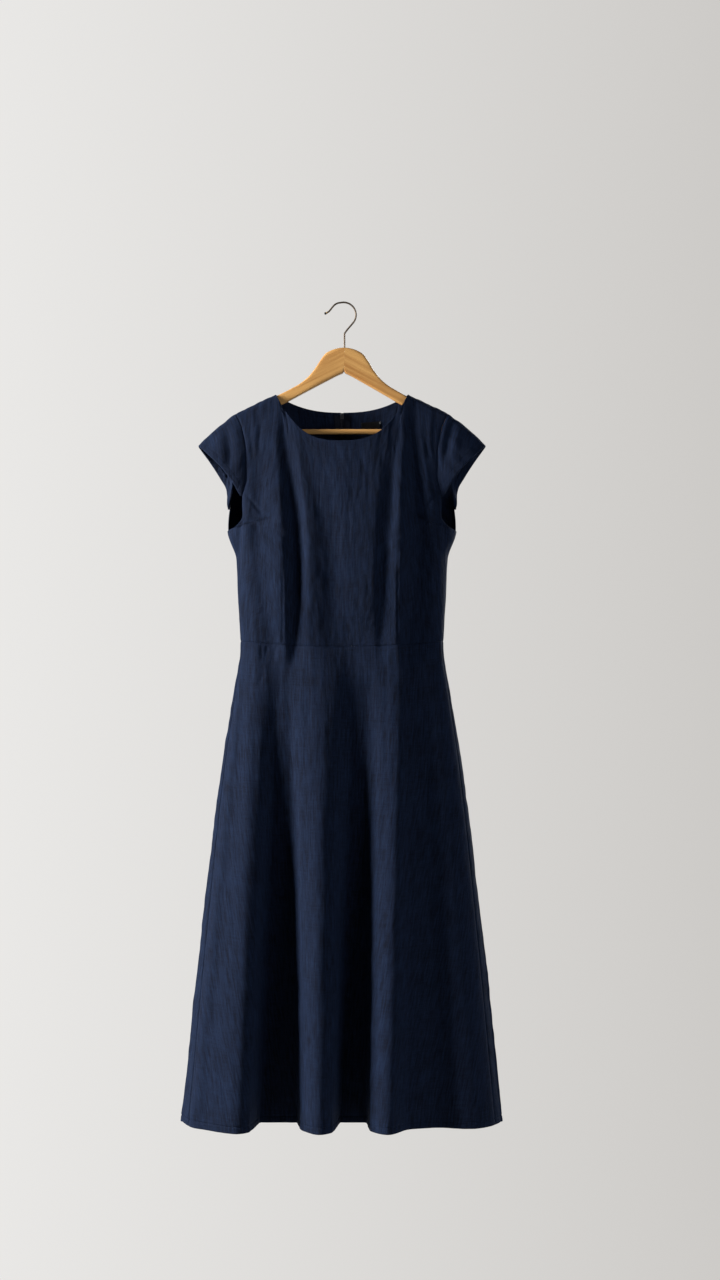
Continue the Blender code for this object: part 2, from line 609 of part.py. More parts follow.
def spline(x, xs, ys):
    """A smooth curve through every point, rounded at its turns."""
    tangents = np.gradient(ys, xs)
    i = np.clip(np.searchsorted(xs, x, side="right") - 1, 0, len(xs) - 2)
    gap = xs[i + 1] - xs[i]
    t = (x - xs[i]) / gap
    rise = ys[i] * (1 + 2 * t) * (1 - t) ** 2 + ys[i + 1] * t * t * (3 - 2 * t)
    return rise + gap * t * (1 - t) * (tangents[i] * (1 - t) - tangents[i + 1] * t)


def grid_normals(points, sign):
    """Outward normals of a sleeve's grid, sign +1 on the right and -1 on the left."""
    outwards, round_arm = np.gradient(points, axis=0), np.gradient(points, axis=1)
    return sign * unit(np.cross(outwards, round_arm))


# ---------------------------------------------------------------- zip and label
def centre_back(bodice, skirt):
    """The two columns of points next to the centre-back edge, from the neck down, with normals.
    The first column is the edge itself."""
    columns = []
    for outer, normals in (bodice, skirt):
        at_first = abs(outer[3, 0, 0] - CENTRE_X) < abs(outer[3, -1, 0] - CENTRE_X)
        picked = [0, 1] if at_first else [-1, -2]
        columns.append((outer[:, picked], normals[:, picked]))
    (above, above_normals), (below, below_normals) = columns
    points = np.concatenate([above, below[1:]])
    normals = np.concatenate([above_normals, below_normals[1:]])
    closed = points.copy()
    closed[:, 0, 0] = CENTRE_X + np.sign(points[:, 1, 0] - CENTRE_X) * SEAM_GAP / 2
    return closed, normals


def cut_rows(points, normals, start, end):
    """The rows between two distances down, with new rows at each end."""
    down = -points[:, 0, 2]
    inside = down[(down > start + 0.001) & (down < end - 0.001)]
    wanted = np.concatenate([[start], inside, [end]])

    def at(values):
        flat = values.reshape(len(values), -1)
        picked = np.stack([np.interp(wanted, down, flat[:, k]) for k in range(flat.shape[1])], -1)
        return picked.reshape(len(wanted), *values.shape[1:])

    return at(points), unit(at(normals))


def zip_tape(name, centre, look):
    points, normals = cut_rows(*centre, BACK_NECK_DOWN + ZIP_TOP_SET_BACK, ZIP_END_DOWN)
    share = TAPE_WIDTH / np.abs(points[:, 1:, 0] - points[:, :1, 0])[..., None]
    points[:, 1:] = points[:, :1] + (points[:, 1:] - points[:, :1]) * share
    return wall(name, points - normals * (CLOTH + SEAM_GAP), normals, look, TAPE_THICK)


def zip_chain(right, left, look):
    points, normals = [], []
    start = BACK_NECK_DOWN + SLIDER_TOP_SET_BACK + SLIDER_LENGTH + SEAM_GAP
    for centre, order in ((left, slice(None, None, -1)), (right, slice(None))):
        across, facing = cut_rows(*centre, start, ZIP_END_DOWN - 0.006)
        share = CHAIN_WIDTH / 2 / np.abs(across[:, 1:, 0] - across[:, :1, 0])[..., None]
        across[:, 1:] = across[:, :1] + (across[:, 1:] - across[:, :1]) * share
        points.append(across[:, order])
        normals.append(facing[:, order])
    deep = CLOTH + TAPE_THICK + 2 * SEAM_GAP
    joined, facing = np.concatenate(points, axis=1), np.concatenate(normals, axis=1)
    return wall("zip_chain", joined - facing * deep, facing, look, CHAIN_THICK)


def neck_label(look):
    out = np.linspace(-LABEL_WIDTH / 2, LABEL_WIDTH / 2, 7)[None, :]
    below = np.linspace(-LABEL_HEIGHT / 2, LABEL_HEIGHT / 2, 4)[:, None]
    across = LABEL_ACROSS + out * math.cos(LABEL_TILT) + below * math.sin(LABEL_TILT)
    down = LABEL_DOWN - out * math.sin(LABEL_TILT) + below * math.cos(LABEL_TILT)
    angle = angle_at(across, down, "back")
    outer, normals = body_point(angle, down), body_normal(angle, down)
    return wall("neck_label", outer - normals * (CLOTH + 2 * SEAM_GAP), normals, look, LABEL_THICK)


# ---------------------------------------------------------------- solids by profile
def as_mesh(name, made):
    bmesh.ops.triangulate(made, faces=made.faces)
    if made.calc_volume(signed=True) < 0:
        bmesh.ops.reverse_faces(made, faces=made.faces)
    mesh = bpy.data.meshes.new(name)
    made.to_mesh(mesh)
    made.free()
    return mesh


def combined(name, first, others, look, smooth_angle=None):
    """One solid from several: others are (mesh, "UNION" or "DIFFERENCE")."""
    body = bpy.data.objects.new(name + "_base", first)
    bpy.context.scene.collection.objects.link(body)
    helpers = []
    for mesh, operation in others:
        helper = bpy.data.objects.new(name + "_helper", mesh)
        bpy.context.scene.collection.objects.link(helper)
        change = body.modifiers.new(operation, "BOOLEAN")
        change.operation, change.solver, change.object = operation, "EXACT", helper
        helpers.append(helper)
    graph = bpy.context.evaluated_depsgraph_get()
    mesh = bpy.data.meshes.new_from_object(body.evaluated_get(graph))
    for thing in [*helpers, body]:
        bpy.data.objects.remove(thing)
    return add_object(name, mesh, look, smooth_angle)


def box_mesh(low, high):
    made = bmesh.new()
    bmesh.ops.create_cube(made, size=1.0)
    for vert in made.verts:
        vert.co = [low[k] if vert.co[k] < 0 else high[k] for k in range(3)]
    return as_mesh("box", made)


def cylinder_mesh(centre, radius, length, along_x, sides=24):
    made = bmesh.new()
    ends = []
    for offset in (-length / 2, length / 2):
        ring = []
        for i in range(sides):
            turn = 2 * math.pi * i / sides
            u, v = radius * math.cos(turn), radius * math.sin(turn)
            place = (offset, u, v) if along_x else (u, v, offset)
            ring.append(made.verts.new([c + p for c, p in zip(centre, place)]))
        ends.append(ring)
    made.faces.new(ends[0][::-1])
    made.faces.new(ends[1])
    for i in range(sides):
        j = (i + 1) % sides
        made.faces.new([ends[0][i], ends[0][j], ends[1][j], ends[1][i]])
    return as_mesh("cylinder", made)


# ---------------------------------------------------------------- slider and pull
def back_plane(down):
    """The y of the back's outer surface at its centre."""
    return float(body_point(-math.pi / 2, down)[1])


def zip_slider(look):
    """A body inside the dress, a neck through the open top of the zip and a bridge outside."""
    top = BACK_NECK_DOWN + SLIDER_TOP_SET_BACK
    bottom = top + SLIDER_LENGTH
    inside = back_plane(top) - (CLOTH + TAPE_THICK + 2 * SEAM_GAP) - 0.0004
    outside = back_plane(bottom) + SEAM_GAP + 0.0002
    neck_low = top + 0.0022
    x = CENTRE_X
    body = box_mesh(
        (x - SLIDER_WIDTH / 2, inside - SLIDER_THICK, -bottom), (x + SLIDER_WIDTH / 2, inside, -top)
    )
    neck = box_mesh(
        (x - NECK_THICK / 2, inside - SLIDER_THICK / 2, -neck_low),
        (x + NECK_THICK / 2, outside + BRIDGE_PLATE / 2, -(top + 0.0002)),
    )
    half = BRIDGE_WIDTH / 2
    plate = box_mesh((x - half, outside, -(bottom - 0.0005)), (x + half, outside + BRIDGE_PLATE, -top))
    high, low, far = hinge_down() - 0.0019, hinge_down() + 0.0019, bridge_reach()
    arch = box_mesh((x - 0.0006, outside + BRIDGE_PLATE / 2, -low), (x + 0.0006, far, -high))
    window = box_mesh(
        (x - 0.002, outside + BRIDGE_PLATE, -(low - 0.0009)), (x + 0.002, far - 0.0009, -(high + 0.0009))
    )
    arch_made = combined("arch", arch, [(window, "DIFFERENCE")], look)
    arch_mesh = arch_made.data.copy()
    bpy.data.objects.remove(arch_made)
    joined = [(neck, "UNION"), (plate, "UNION"), (arch_mesh, "UNION")]
    return combined("zip_slider", body, joined, look)


def hinge_down():
    return BACK_NECK_DOWN + SLIDER_TOP_SET_BACK + 0.0028


def bridge_reach():
    """How far back the bridge's outer face is."""
    outside = back_plane(BACK_NECK_DOWN + SLIDER_TOP_SET_BACK + SLIDER_LENGTH) + SEAM_GAP + 0.0002
    return outside + BRIDGE_PLATE + BRIDGE_GAP + 0.0009


def zip_pull(look):
    """A tapered tab with a window whose top bar turns inside the bridge."""
    centre_y = bridge_reach() - 0.0009 - BRIDGE_GAP / 2
    tilt = PULL_REST
    bar, window, end = 0.00045, 0.0044, PULL_LENGTH

    def placed(u, v, w):
        return (
            CENTRE_X + u,
            centre_y + v * math.cos(tilt) + w * math.sin(tilt),
            -hinge_down() + v * math.sin(tilt) - w * math.cos(tilt),
        )

    widths = ((-bar, 0.0019), (window + 0.0008, 0.0022), (end * 0.55, 0.0017), (end * 0.85, 0.0024))
    outline = [(u, w) for w, u in widths] + [(0.0017, end), (-0.0017, end)]
    outline += [(-u, w) for w, u in reversed(widths)]
    hole = [(0.0011, bar), (0.0011, window), (-0.0011, window), (-0.0011, bar)]

    def plate(points, half):
        made = bmesh.new()
        faces = []
        for v in (-half, half):
            faces.append([made.verts.new(placed(u, v, w)) for u, w in points])
        made.faces.new(faces[0])
        made.faces.new(faces[1][::-1])
        for i in range(len(points)):
            j = (i + 1) % len(points)
            made.faces.new([faces[0][j], faces[0][i], faces[1][i], faces[1][j]])
        return as_mesh("plate", made)

    return combined("zip_pull", plate(outline, bar), [(plate(hole, 0.003), "DIFFERENCE")], look)


# ---------------------------------------------------------------- hanger
def tilted(x, z):
    """The wood hangs turned by a small angle about the foot of the hook."""
    turn, foot = -HANGER_TILT, -CROWN_DOWN
    return (
        x * math.cos(turn) - (z - foot) * math.sin(turn),
        foot + x * math.sin(turn) + (z - foot) * math.cos(turn),
    )


def hanger_arms(look):
    """A loft of chamfered sections from one end of the arms to the other."""
    made = bmesh.new()
    rings = []
    outs = column(ARMS, "out")
    stations = [-out for out in reversed(outs)] + outs[1:]
    for x in stations:
        row = ARMS[outs.index(abs(x))]
        high, low = -row.top, -row.bottom
        half, cut = row.thick / 2, min(ARM_ROUND, row.thick * 0.3, (high - low) * 0.3)
        section = (
            (-half + cut, high), (half - cut, high), (half, high - cut), (half, low + cut),
            (half - cut, low), (-half + cut, low), (-half, low + cut), (-half, high - cut),
        )
        ring = []
        for y, z in section:
            px, pz = tilted(x, z)
            ring.append(made.verts.new((px, y, pz)))
        rings.append(ring)
    made.faces.new(rings[0])
    made.faces.new(rings[-1][::-1])
    for one, two in zip(rings, rings[1:]):
        for i in range(8):
            j = (i + 1) % 8
            made.faces.new([one[j], one[i], two[i], two[j]])
    body = as_mesh("arms", made)
    bore_top = -(CROWN_DOWN - 0.004)
    bore_low = -(CROWN_DOWN + SHANK_DEPTH + SEAM_GAP)
    bore = cylinder_mesh(
        (0.0, 0.0, (bore_top + bore_low) / 2), WIRE_RADIUS + SEAM_GAP, bore_top - bore_low, False
    )
    socket = cylinder_mesh(
        bar_centre(), BAR_RADIUS + SEAM_GAP, 2 * (BAR_HALF + SEAM_GAP), True
    )
    cuts = [(bore, "DIFFERENCE"), (socket, "DIFFERENCE")]
    return combined("hanger_arms", body, cuts, look, math.radians(35))


def bar_centre():
    return (0.0, 0.0, -BAR_DOWN)


def hook_path():
    """Centres along the wire from its foot in the wood to its tip."""
    centre_x, centre_z = HOOK_CENTRE
    points = [(0.0, -(CROWN_DOWN + SHANK_DEPTH)), (0.0, -KINK_DOWN - 0.010), (0.0, -KINK_DOWN)]
    start, end = math.radians(-42), math.radians(100)
    for i in range(15):
        turn = start + (end - start) * i / 14
        points.append((centre_x + HOOK_RADIUS * math.cos(turn), centre_z + HOOK_RADIUS * math.sin(turn)))
    return points + [(p.x, -p.down) for p in HOOK_TIP]


def hanger_hook(look):
    path = np.array([(x, 0.0, z) for x, z in hook_path()])
    forward = unit(np.gradient(path, axis=0))
    made = bmesh.new()
    rings = []
    for place, way in zip(path, forward):
        side = np.array([way[2], 0.0, -way[0]])
        ring = []
        for i in range(12):
            turn = 2 * math.pi * i / 12
            offset = WIRE_RADIUS * (math.cos(turn) * side + math.sin(turn) * np.array([0.0, 1.0, 0.0]))
            ring.append(made.verts.new(tuple(place + offset)))
        rings.append(ring)
    made.faces.new(rings[0])
    made.faces.new(rings[-1][::-1])
    for one, two in zip(rings, rings[1:]):
        for i in range(12):
            j = (i + 1) % 12
            made.faces.new([one[j], one[i], two[i], two[j]])
    return add_object("hanger_hook", as_mesh("hanger_hook", made), look, math.radians(40))


def hook_tip(look):
    last, before = HOOK_TIP[-1], HOOK_TIP[-2]
    way = unit(np.array([last.x - before.x, 0.0, before.down - last.down]))
    place = np.array([last.x, 0.0, -last.down]) + way * (TIP_RADIUS + SEAM_GAP)
    made = bmesh.new()
    bmesh.ops.create_uvsphere(made, u_segments=16, v_segments=10, radius=TIP_RADIUS)
    for vert in made.verts:
        vert.co = [c + p for c, p in zip(vert.co, place)]
    return add_object("hanger_hook_tip", as_mesh("tip", made), look, math.radians(60))


# ---------------------------------------------------------------- main
def main():
    clear_scene()
    cloth = material("navy_cloth", NAVY, 0.85)
    dark = material("navy_tape", NAVY_DARK, 0.8)
    black = material("black_label", BLACK, 0.7)
    grey = material("zip_grey", ZIP_GREY, 0.45, 1.0)
    wood = material("honey_wood", HONEY_WOOD, 0.45)
    steel = material("steel", STEEL, 0.3, 1.0)

    wall("bodice_front", *bodice_grid("front"), cloth)
    backs = {}
    for half in ("right", "left"):
        bodice, skirt = bodice_grid("back", half), skirt_grid("back", half)
        wall("bodice_back_" + half, *bodice, cloth)
        wall("skirt_back_" + half, *skirt, cloth)
        wall("sleeve_" + half, *sleeve_grid(half == "right"), cloth)
        backs[half] = centre_back(bodice, skirt)
        zip_tape("zip_tape_" + half, backs[half], dark)
    wall("skirt_front", *skirt_grid("front"), cloth)
    zip_chain(backs["right"], backs["left"], dark)
    zip_slider(grey)
    zip_pull(grey)
    neck_label(black)
    hanger_arms(wood)
    bar = cylinder_mesh(bar_centre(), BAR_RADIUS, 2 * BAR_HALF, True)
    add_object("hanger_bar", bar, wood, math.radians(35))
    hanger_hook(steel)
    hook_tip(black)


main()
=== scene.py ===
"""The looks of the a-line dress on its hanger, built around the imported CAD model.

The cloth panels repeat the CAD's surface, worked out from the same sizes, on a much finer grid,
with darts, creases, seams, hems and stitches added. Metres, +Z up, the front faces -Y.
"""

import math
from collections import namedtuple

import bmesh
import bpy
import numpy as np
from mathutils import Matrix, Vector


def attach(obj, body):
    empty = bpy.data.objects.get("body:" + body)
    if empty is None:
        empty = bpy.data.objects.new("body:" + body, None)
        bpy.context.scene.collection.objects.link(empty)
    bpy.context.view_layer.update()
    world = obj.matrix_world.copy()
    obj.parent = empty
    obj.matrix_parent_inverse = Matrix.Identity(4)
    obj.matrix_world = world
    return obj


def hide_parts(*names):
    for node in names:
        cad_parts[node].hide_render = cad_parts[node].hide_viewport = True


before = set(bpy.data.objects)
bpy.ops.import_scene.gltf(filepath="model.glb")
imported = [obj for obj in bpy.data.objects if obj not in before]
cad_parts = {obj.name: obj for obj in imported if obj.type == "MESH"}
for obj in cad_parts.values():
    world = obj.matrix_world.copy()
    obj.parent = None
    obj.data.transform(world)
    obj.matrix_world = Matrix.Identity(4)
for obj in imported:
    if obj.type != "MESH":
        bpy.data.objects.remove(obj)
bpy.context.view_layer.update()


def rows_of(kind, *rows):
    """A table: the same kind of row made from each row of values."""
    return tuple(kind(*row) for row in rows)


# ---------------------------------------------------------------- sizes shared with the CAD
CLOTH = 0.0012  # thickness of every cloth wall
SEAM_GAP = 0.0003  # between two pieces that are sewn together
CENTRE_X = -0.004  # the dress hangs this far to the left of the hook's shank
WAIST_DOWN = 0.549
WAIST_RISE = 0.009  # the waist seam is this much higher at the sides
HEM_DOWN = 1.308

NECK_HALF = 0.1056  # from the centre to the neck end of the shoulder seam
NECK_TOP_DOWN = 0.1462
FRONT_NECK_DOWN = 0.2233
BACK_NECK_DOWN = 0.1735
FRONT_NECK_POWER = 2.8
BACK_NECK_POWER = 2.5
SHOULDER_HALF = 0.1696  # from the centre to the sleeve seam
SHOULDER_DOWN = 0.1765
UNDERARM_DOWN = 0.367
SHOULDER_SLOPE = (SHOULDER_DOWN - NECK_TOP_DOWN) / (SHOULDER_HALF - NECK_HALF)
SHOULDER_ROUND = 0.009  # radius over the hanger's arm
YOKE_HEIGHT, YOKE_BLUNT = 0.12, 0.36  # over the hanger's arm the cloth keeps its round edge
DRAPE_REACH = 0.055  # how soon the cloth leaves the hanger's plane below the shoulder

# Horizontal sections of the body: half width, depth in front of and behind the hanger's plane,
# the two powers of the outline, the angle of the side seam and the underarm corner's reach.
Level = namedtuple("Level", "down half front back full edge seam tail")
LEVELS = rows_of(
    Level,
    #     down   half    front  back   full edge  seam   tail
    (0.140, 0.1860, 0.024, 0.010, 2.6, 2.0, -0.10, 0.000),
    (0.220, 0.1860, 0.028, 0.016, 2.6, 2.0, -0.10, 0.000),
    (0.300, 0.1835, 0.040, 0.021, 2.6, 2.0, -0.10, 0.000),
    (0.367, 0.1765, 0.050, 0.024, 2.7, 2.0, -0.10, 0.007),
    (0.410, 0.1685, 0.053, 0.025, 2.8, 2.0, 0.00, 0.001),
    (0.460, 0.1670, 0.048, 0.024, 2.7, 2.0, 0.06, 0.000),
    (0.549, 0.1625, 0.036, 0.022, 2.6, 2.0, 0.15, 0.000),
    (0.620, 0.1730, 0.040, 0.025, 2.8, 1.9, 0.18, 0.000),
    (0.750, 0.1940, 0.050, 0.031, 3.4, 1.7, 0.24, 0.000),
    (1.000, 0.2250, 0.064, 0.040, 4.4, 1.5, 0.30, 0.000),
    (1.308, 0.2580, 0.076, 0.046, 5.5, 1.4, 0.33, 0.000),
)
TAIL_SPREAD = 0.35  # radians either side of the underarm corner

# The armhole's edge as angles round the body, 0 at the side and positive towards the front.
ArmholeRow = namedtuple("ArmholeRow", "down front back")
ARMHOLE = rows_of(
    ArmholeRow,
    (0.1765, 0.423, -0.423),
    (0.2000, 0.540, -0.440),
    (0.2400, 0.610, -0.430),
    (0.2800, 0.610, -0.340),
    (0.3150, 0.520, -0.230),
    (0.3420, 0.500, -0.160),
    (0.3560, 0.370, -0.130),
    (0.3630, 0.160, -0.110),
    (0.3670, -0.100, -0.100),
)

# Folds run down the cloth through crests and valleys. Each row is one of those lines: how far
# across from the dress's centre it is, and how far in from the full depth.
# On the bodice both are given at the top of the bust, at the bust and at the waist.
BODICE_FOLD_DOWNS = (0.203, 0.411, 0.549)
BODICE_FADE = 0.050  # below the waist they fade out over this height
BodiceFold = namedtuple("BodiceFold", "across deep")
BODICE_FOLDS = {
    "front": rows_of(
        BodiceFold,
        ((-0.1666, -0.1635, -0.1603), (0.002, 0.001, 0.001)),
        ((-0.1493, -0.1524, -0.1446), (0.001, 0.001, 0.001)),
        ((-0.1304, -0.1288, -0.1130), (0.004, 0.007, 0.006)),
        ((-0.1067, -0.0957, -0.0910), (0.002, 0.000, 0.001)),
        ((-0.0910, -0.0690, -0.0740), (0.007, 0.016, 0.009)),
        ((-0.0736, -0.0500, -0.0500), (0.003, 0.004, 0.004)),
        ((-0.0563, -0.0185, -0.0106), (0.004, 0.010, 0.008)),
        ((-0.0027, 0.0130, 0.0209), (0.001, 0.005, 0.005)),
        ((0.0572, 0.0493, 0.0509), (0.001, 0.003, 0.003)),
        ((0.0871, 0.0666, 0.0619), (0.004, 0.009, 0.005)),
        ((0.0965, 0.0887, 0.0871), (0.001, 0.000, 0.001)),
        ((0.1130, 0.1190, 0.1080), (0.009, 0.013, 0.008)),
        ((0.1297, 0.1486, 0.1407), (0.003, 0.003, 0.003)),
        ((0.1675, 0.1659, 0.1612), (0.002, 0.001, 0.001)),
    ),
    "back": rows_of(
        BodiceFold,
        ((-0.1650, -0.1640, -0.1600), (0.001, 0.001, 0.001)),
        ((-0.1280, -0.1200, -0.1130), (0.001, 0.001, 0.001)),
        ((-0.0980, -0.0860, -0.0880), (0.002, 0.008, 0.006)),
        ((-0.0660, -0.0540, -0.0520), (0.001, 0.001, 0.001)),
        ((-0.0180, -0.0180, -0.0180), (0.001, 0.002, 0.002)),
        ((0.0180, 0.0180, 0.0180), (0.001, 0.002, 0.002)),
        ((0.0540, 0.0500, 0.0480), (0.000, 0.000, 0.001)),
        ((0.0860, 0.0790, 0.0800), (0.003, 0.009, 0.007)),
        ((0.1180, 0.1090, 0.1050), (0.001, 0.001, 0.001)),
        ((0.1420, 0.1400, 0.1330), (0.003, 0.005, 0.004)),
        ((0.1660, 0.1650, 0.1610), (0.001, 0.001, 0.001)),
    ),
}

# On the skirt they are given at the waist and at the hem, and deepen evenly down to the hem.
SKIRT_FOLD_START = 0.500
SkirtFold = namedtuple("SkirtFold", "at_waist at_hem deep")
SKIRT_FOLDS = {
    "front": rows_of(
        SkirtFold,
        (-0.1597, -0.2566, 0.008),
        (-0.1560, -0.2380, 0.003),
        (-0.1510, -0.2160, 0.008),
        (-0.1420, -0.1640, 0.001),
        (-0.1280, -0.1450, 0.013),
        (-0.0960, -0.1270, 0.078),
        (-0.0880, -0.0735, 0.078),
        (-0.0600, -0.0635, 0.030),
        (-0.0330, -0.0340, 0.001),
        (-0.0160, -0.0150, 0.013),
        (0.0200, 0.0010, 0.080),
        (0.0330, 0.0370, 0.080),
        (0.0700, 0.0440, 0.024),
        (0.0910, 0.0740, 0.001),
        (0.1120, 0.1080, 0.034),
        (0.1230, 0.1480, 0.041),
        (0.1500, 0.2150, 0.016),
        (0.1603, 0.2568, 0.010),
    ),
    "back": rows_of(
        SkirtFold,
        (-0.1600, -0.2560, 0.010),
        (-0.1400, -0.1980, 0.004),
        (-0.1120, -0.1500, 0.038),
        (-0.1010, -0.1300, 0.038),
        (-0.0760, -0.0980, 0.004),
        (-0.0460, -0.0600, 0.028),
        (-0.0180, -0.0200, 0.006),
        (0.0180, 0.0190, 0.006),
        (0.0400, 0.0540, 0.036),
        (0.0660, 0.0880, 0.004),
        (0.0960, 0.1280, 0.034),
        (0.1060, 0.1440, 0.032),
        (0.1360, 0.1900, 0.004),
        (0.1600, 0.2560, 0.012),
    ),
}
MOST_FOLD = 0.9  # the folds never take more than this share of the depth

# The sleeve's open edge, from its front end over the tip to its back end, on the right sleeve.
SleeveEdge = namedtuple("SleeveEdge", "out back_y down")
SLEEVE_EDGE = rows_of(
    SleeveEdge,
    (0.1575, -0.0290, 0.3085),
    (0.1740, -0.0290, 0.2860),
    (0.1930, -0.0250, 0.2620),
    (0.2160, -0.0145, 0.2400),
    (0.2300, 0.0030, 0.2280),
    (0.2130, 0.0190, 0.2515),
    (0.1975, 0.0230, 0.2750),
    (0.1850, 0.0210, 0.2980),
    (0.1790, 0.0170, 0.3180),
)
SLEEVE_END_DOWN = {"front": 0.311, "back": 0.330}  # where its edge meets the armhole
SLEEVE_END_WIDTH = 0.003
SLEEVE_CROWN = 0.002  # how far the middle of the sleeve swells outwards

# Zip, label and hanger.
ZIP_END_DOWN = 0.720
TAPE_THICK = 0.0008
CHAIN_THICK = 0.0014
ZIP_TOP_HALF = 0.0026  # the zip's top stands open this far to each side
ZIP_TOP_DEEP = 0.009
SLIDER_TOP_SET_BACK = 0.0008
SLIDER_LENGTH = 0.0090
LABEL_WIDTH, LABEL_HEIGHT, LABEL_THICK = 0.030, 0.010, 0.0006
LABEL_ACROSS, LABEL_DOWN, LABEL_TILT = 0.0464, 0.1932, math.radians(5)

# The hanger's wood: how far down its top and underside are and how thick it is, outwards.
ArmRow = namedtuple("ArmRow", "out top bottom thick")
ARMS = rows_of(
    ArmRow,
    (0.0000, 0.0713, 0.1116, 0.0120),
    (0.0120, 0.0728, 0.1170, 0.0120),
    (0.0220, 0.0764, 0.1224, 0.0120),
    (0.0310, 0.0822, 0.1273, 0.0120),
    (0.0385, 0.0925, 0.1314, 0.0120),
    (0.0460, 0.1045, 0.1355, 0.0120),
    (0.0555, 0.1172, 0.1407, 0.0120),
    (0.0680, 0.1285, 0.1476, 0.0118),
    (0.0850, 0.1389, 0.1571, 0.0116),
    (0.1040, 0.1489, 0.1668, 0.0114),
    (0.1300, 0.1614, 0.1795, 0.0110),
    (0.1560, 0.1739, 0.1950, 0.0106),
    (0.1680, 0.1799, 0.2095, 0.0104),
    (0.1740, 0.1875, 0.2150, 0.0102),
    (0.1800, 0.1950, 0.2140, 0.0096),
    (0.1830, 0.2010, 0.2100, 0.0080),
)
HANGER_TILT = math.radians(1.0)  # its left arm is a little higher
BAR_RADIUS = 0.0042
BAR_DOWN = 0.2056
BAR_HALF = 0.1745
WIRE_RADIUS = 0.0014
HOOK_CENTRE = (-0.0016, -0.0186)
HOOK_RADIUS = 0.020
KINK_DOWN = 0.0482
CROWN_DOWN = 0.0713
TIP_RADIUS = 0.0021
HookRow = namedtuple("HookRow", "x down")
HOOK_TIP = rows_of(
    HookRow,
    (-0.0105, -0.0002),
    (-0.0150, 0.0020),
    (-0.0192, 0.0062),
    (-0.0228, 0.0108),
    (-0.0262, 0.0142),
    (-0.0282, 0.0152),
)


# ---------------------------------------------------------------- small helpers
def smooth_step(value):
    value = np.clip(value, 0.0, 1.0)
    return value * value * (3.0 - 2.0 * value)


def between_ends(t, gap, low, high, start, end):
    """The cubic from low to high as t goes from 0 to 1, with the slopes start and end."""
    rise = low * (1 + 2 * t) * (1 - t) ** 2 + high * t * t * (3 - 2 * t)
    return rise + gap * t * (1 - t) * (start * (1 - t) - end * t)


def turning_slope(before, after):
    """The slope at a point between two others: level where the line turns back."""
    same_way = before * after > 0
    total = np.where(same_way, before + after, 1.0)
    return np.where(same_way, 2.0 * before * after / total, 0.0)


def spline(x, xs, ys, tangents=None):
    """A smooth curve through every point, rounded at its turns."""
    tangents = np.gradient(ys, xs) if tangents is None else tangents
    i = np.clip(np.searchsorted(xs, x, side="right") - 1, 0, len(xs) - 2)
    gap = xs[i + 1] - xs[i]
    return between_ends((x - xs[i]) / gap, gap, ys[i], ys[i + 1], tangents[i], tangents[i + 1])


def through(x, xs, ys):
    """A smooth curve through the points of a table that never overshoots them."""
    xs, ys = np.asarray(xs, float), np.asarray(ys, float)
    slopes = np.diff(ys) / np.diff(xs)
    tangents = [slopes[:1], turning_slope(slopes[:-1], slopes[1:]), slopes[-1:]]
    return spline(np.clip(x, xs[0], xs[-1]), xs, ys, np.concatenate(tangents))


def column(table, name):
    return [getattr(row, name) for row in table]


def at_level(down, name):
    return through(down, column(LEVELS, "down"), column(LEVELS, name))


# ---------------------------------------------------------------- the dress's surface
def ridge_down(across):
    """How far down the shoulder line is, at a distance across from the dress's centre."""
    return NECK_TOP_DOWN + SHOULDER_SLOPE * (np.abs(across) - NECK_HALF)


def waist_down(across):
    half = at_level(WAIST_DOWN, "half")
    return WAIST_DOWN - WAIST_RISE * np.minimum(np.abs(across) / half, 1.0) ** 2


def neck_down(across, lowest, power):
    return lowest - (lowest - NECK_TOP_DOWN) * (np.abs(across) / NECK_HALF) ** power


def rounded(across, places, values):
    """A smooth curve through each value at its place, level at the crests and valleys."""
    gaps = [after - before for before, after in zip(places, places[1:])]
    slopes = [(values[k + 1] - values[k]) / gap for k, gap in enumerate(gaps)]
    level = np.zeros_like(across)
    tangents = [level, *map(turning_slope, slopes, slopes[1:]), level]
    total = np.where(across < places[0], values[0], values[-1])
    for k, gap in enumerate(gaps):
        t = np.clip((across - places[k]) / gap, 0.0, 1.0)
        curve = between_ends(t, gap, values[k], values[k + 1], tangents[k], tangents[k + 1])
        inside = (across >= places[k]) & (across < places[k + 1])
        total = np.where(inside, curve, total)
    return total


def folds(across, down, side):
    """How far the folds take the cloth in from its full depth."""
    across, down = np.broadcast_arrays(across, down)
    top, _, waist = BODICE_FOLD_DOWNS
    rows = BODICE_FOLDS[side]
    level = np.clip(down, top, waist)
    places = [through(level, BODICE_FOLD_DOWNS, row.across) for row in rows]
    deep = [through(level, BODICE_FOLD_DOWNS, row.deep) for row in rows]
    fade = 1.0 - smooth_step((down - waist) / BODICE_FADE)
    total = rounded(across, places, deep) * fade
    rows = SKIRT_FOLDS[side]
    share = np.clip((down - WAIST_DOWN) / (HEM_DOWN - WAIST_DOWN), 0.0, 1.0)
    places = [row.at_waist + (row.at_hem - row.at_waist) * share for row in rows]
    deep = [np.full(share.shape, row.deep) for row in rows]
    grown = np.clip((down - SKIRT_FOLD_START) / (HEM_DOWN - SKIRT_FOLD_START), 0.0, 1.0)
    return total + rounded(across, places, deep) * grown


def side_angle(angle):
    """The angle measured from the nearer side of the body, positive towards the front."""
    return np.arctan2(np.sin(angle), np.abs(np.cos(angle)))


def across_at(angle, down):
    from_corner = (side_angle(angle) - at_level(down, "seam")) / TAIL_SPREAD
    tail = at_level(down, "tail") * np.exp(-(from_corner**2))
    return at_level(down, "half") * np.cos(angle) + tail * np.sign(np.cos(angle))


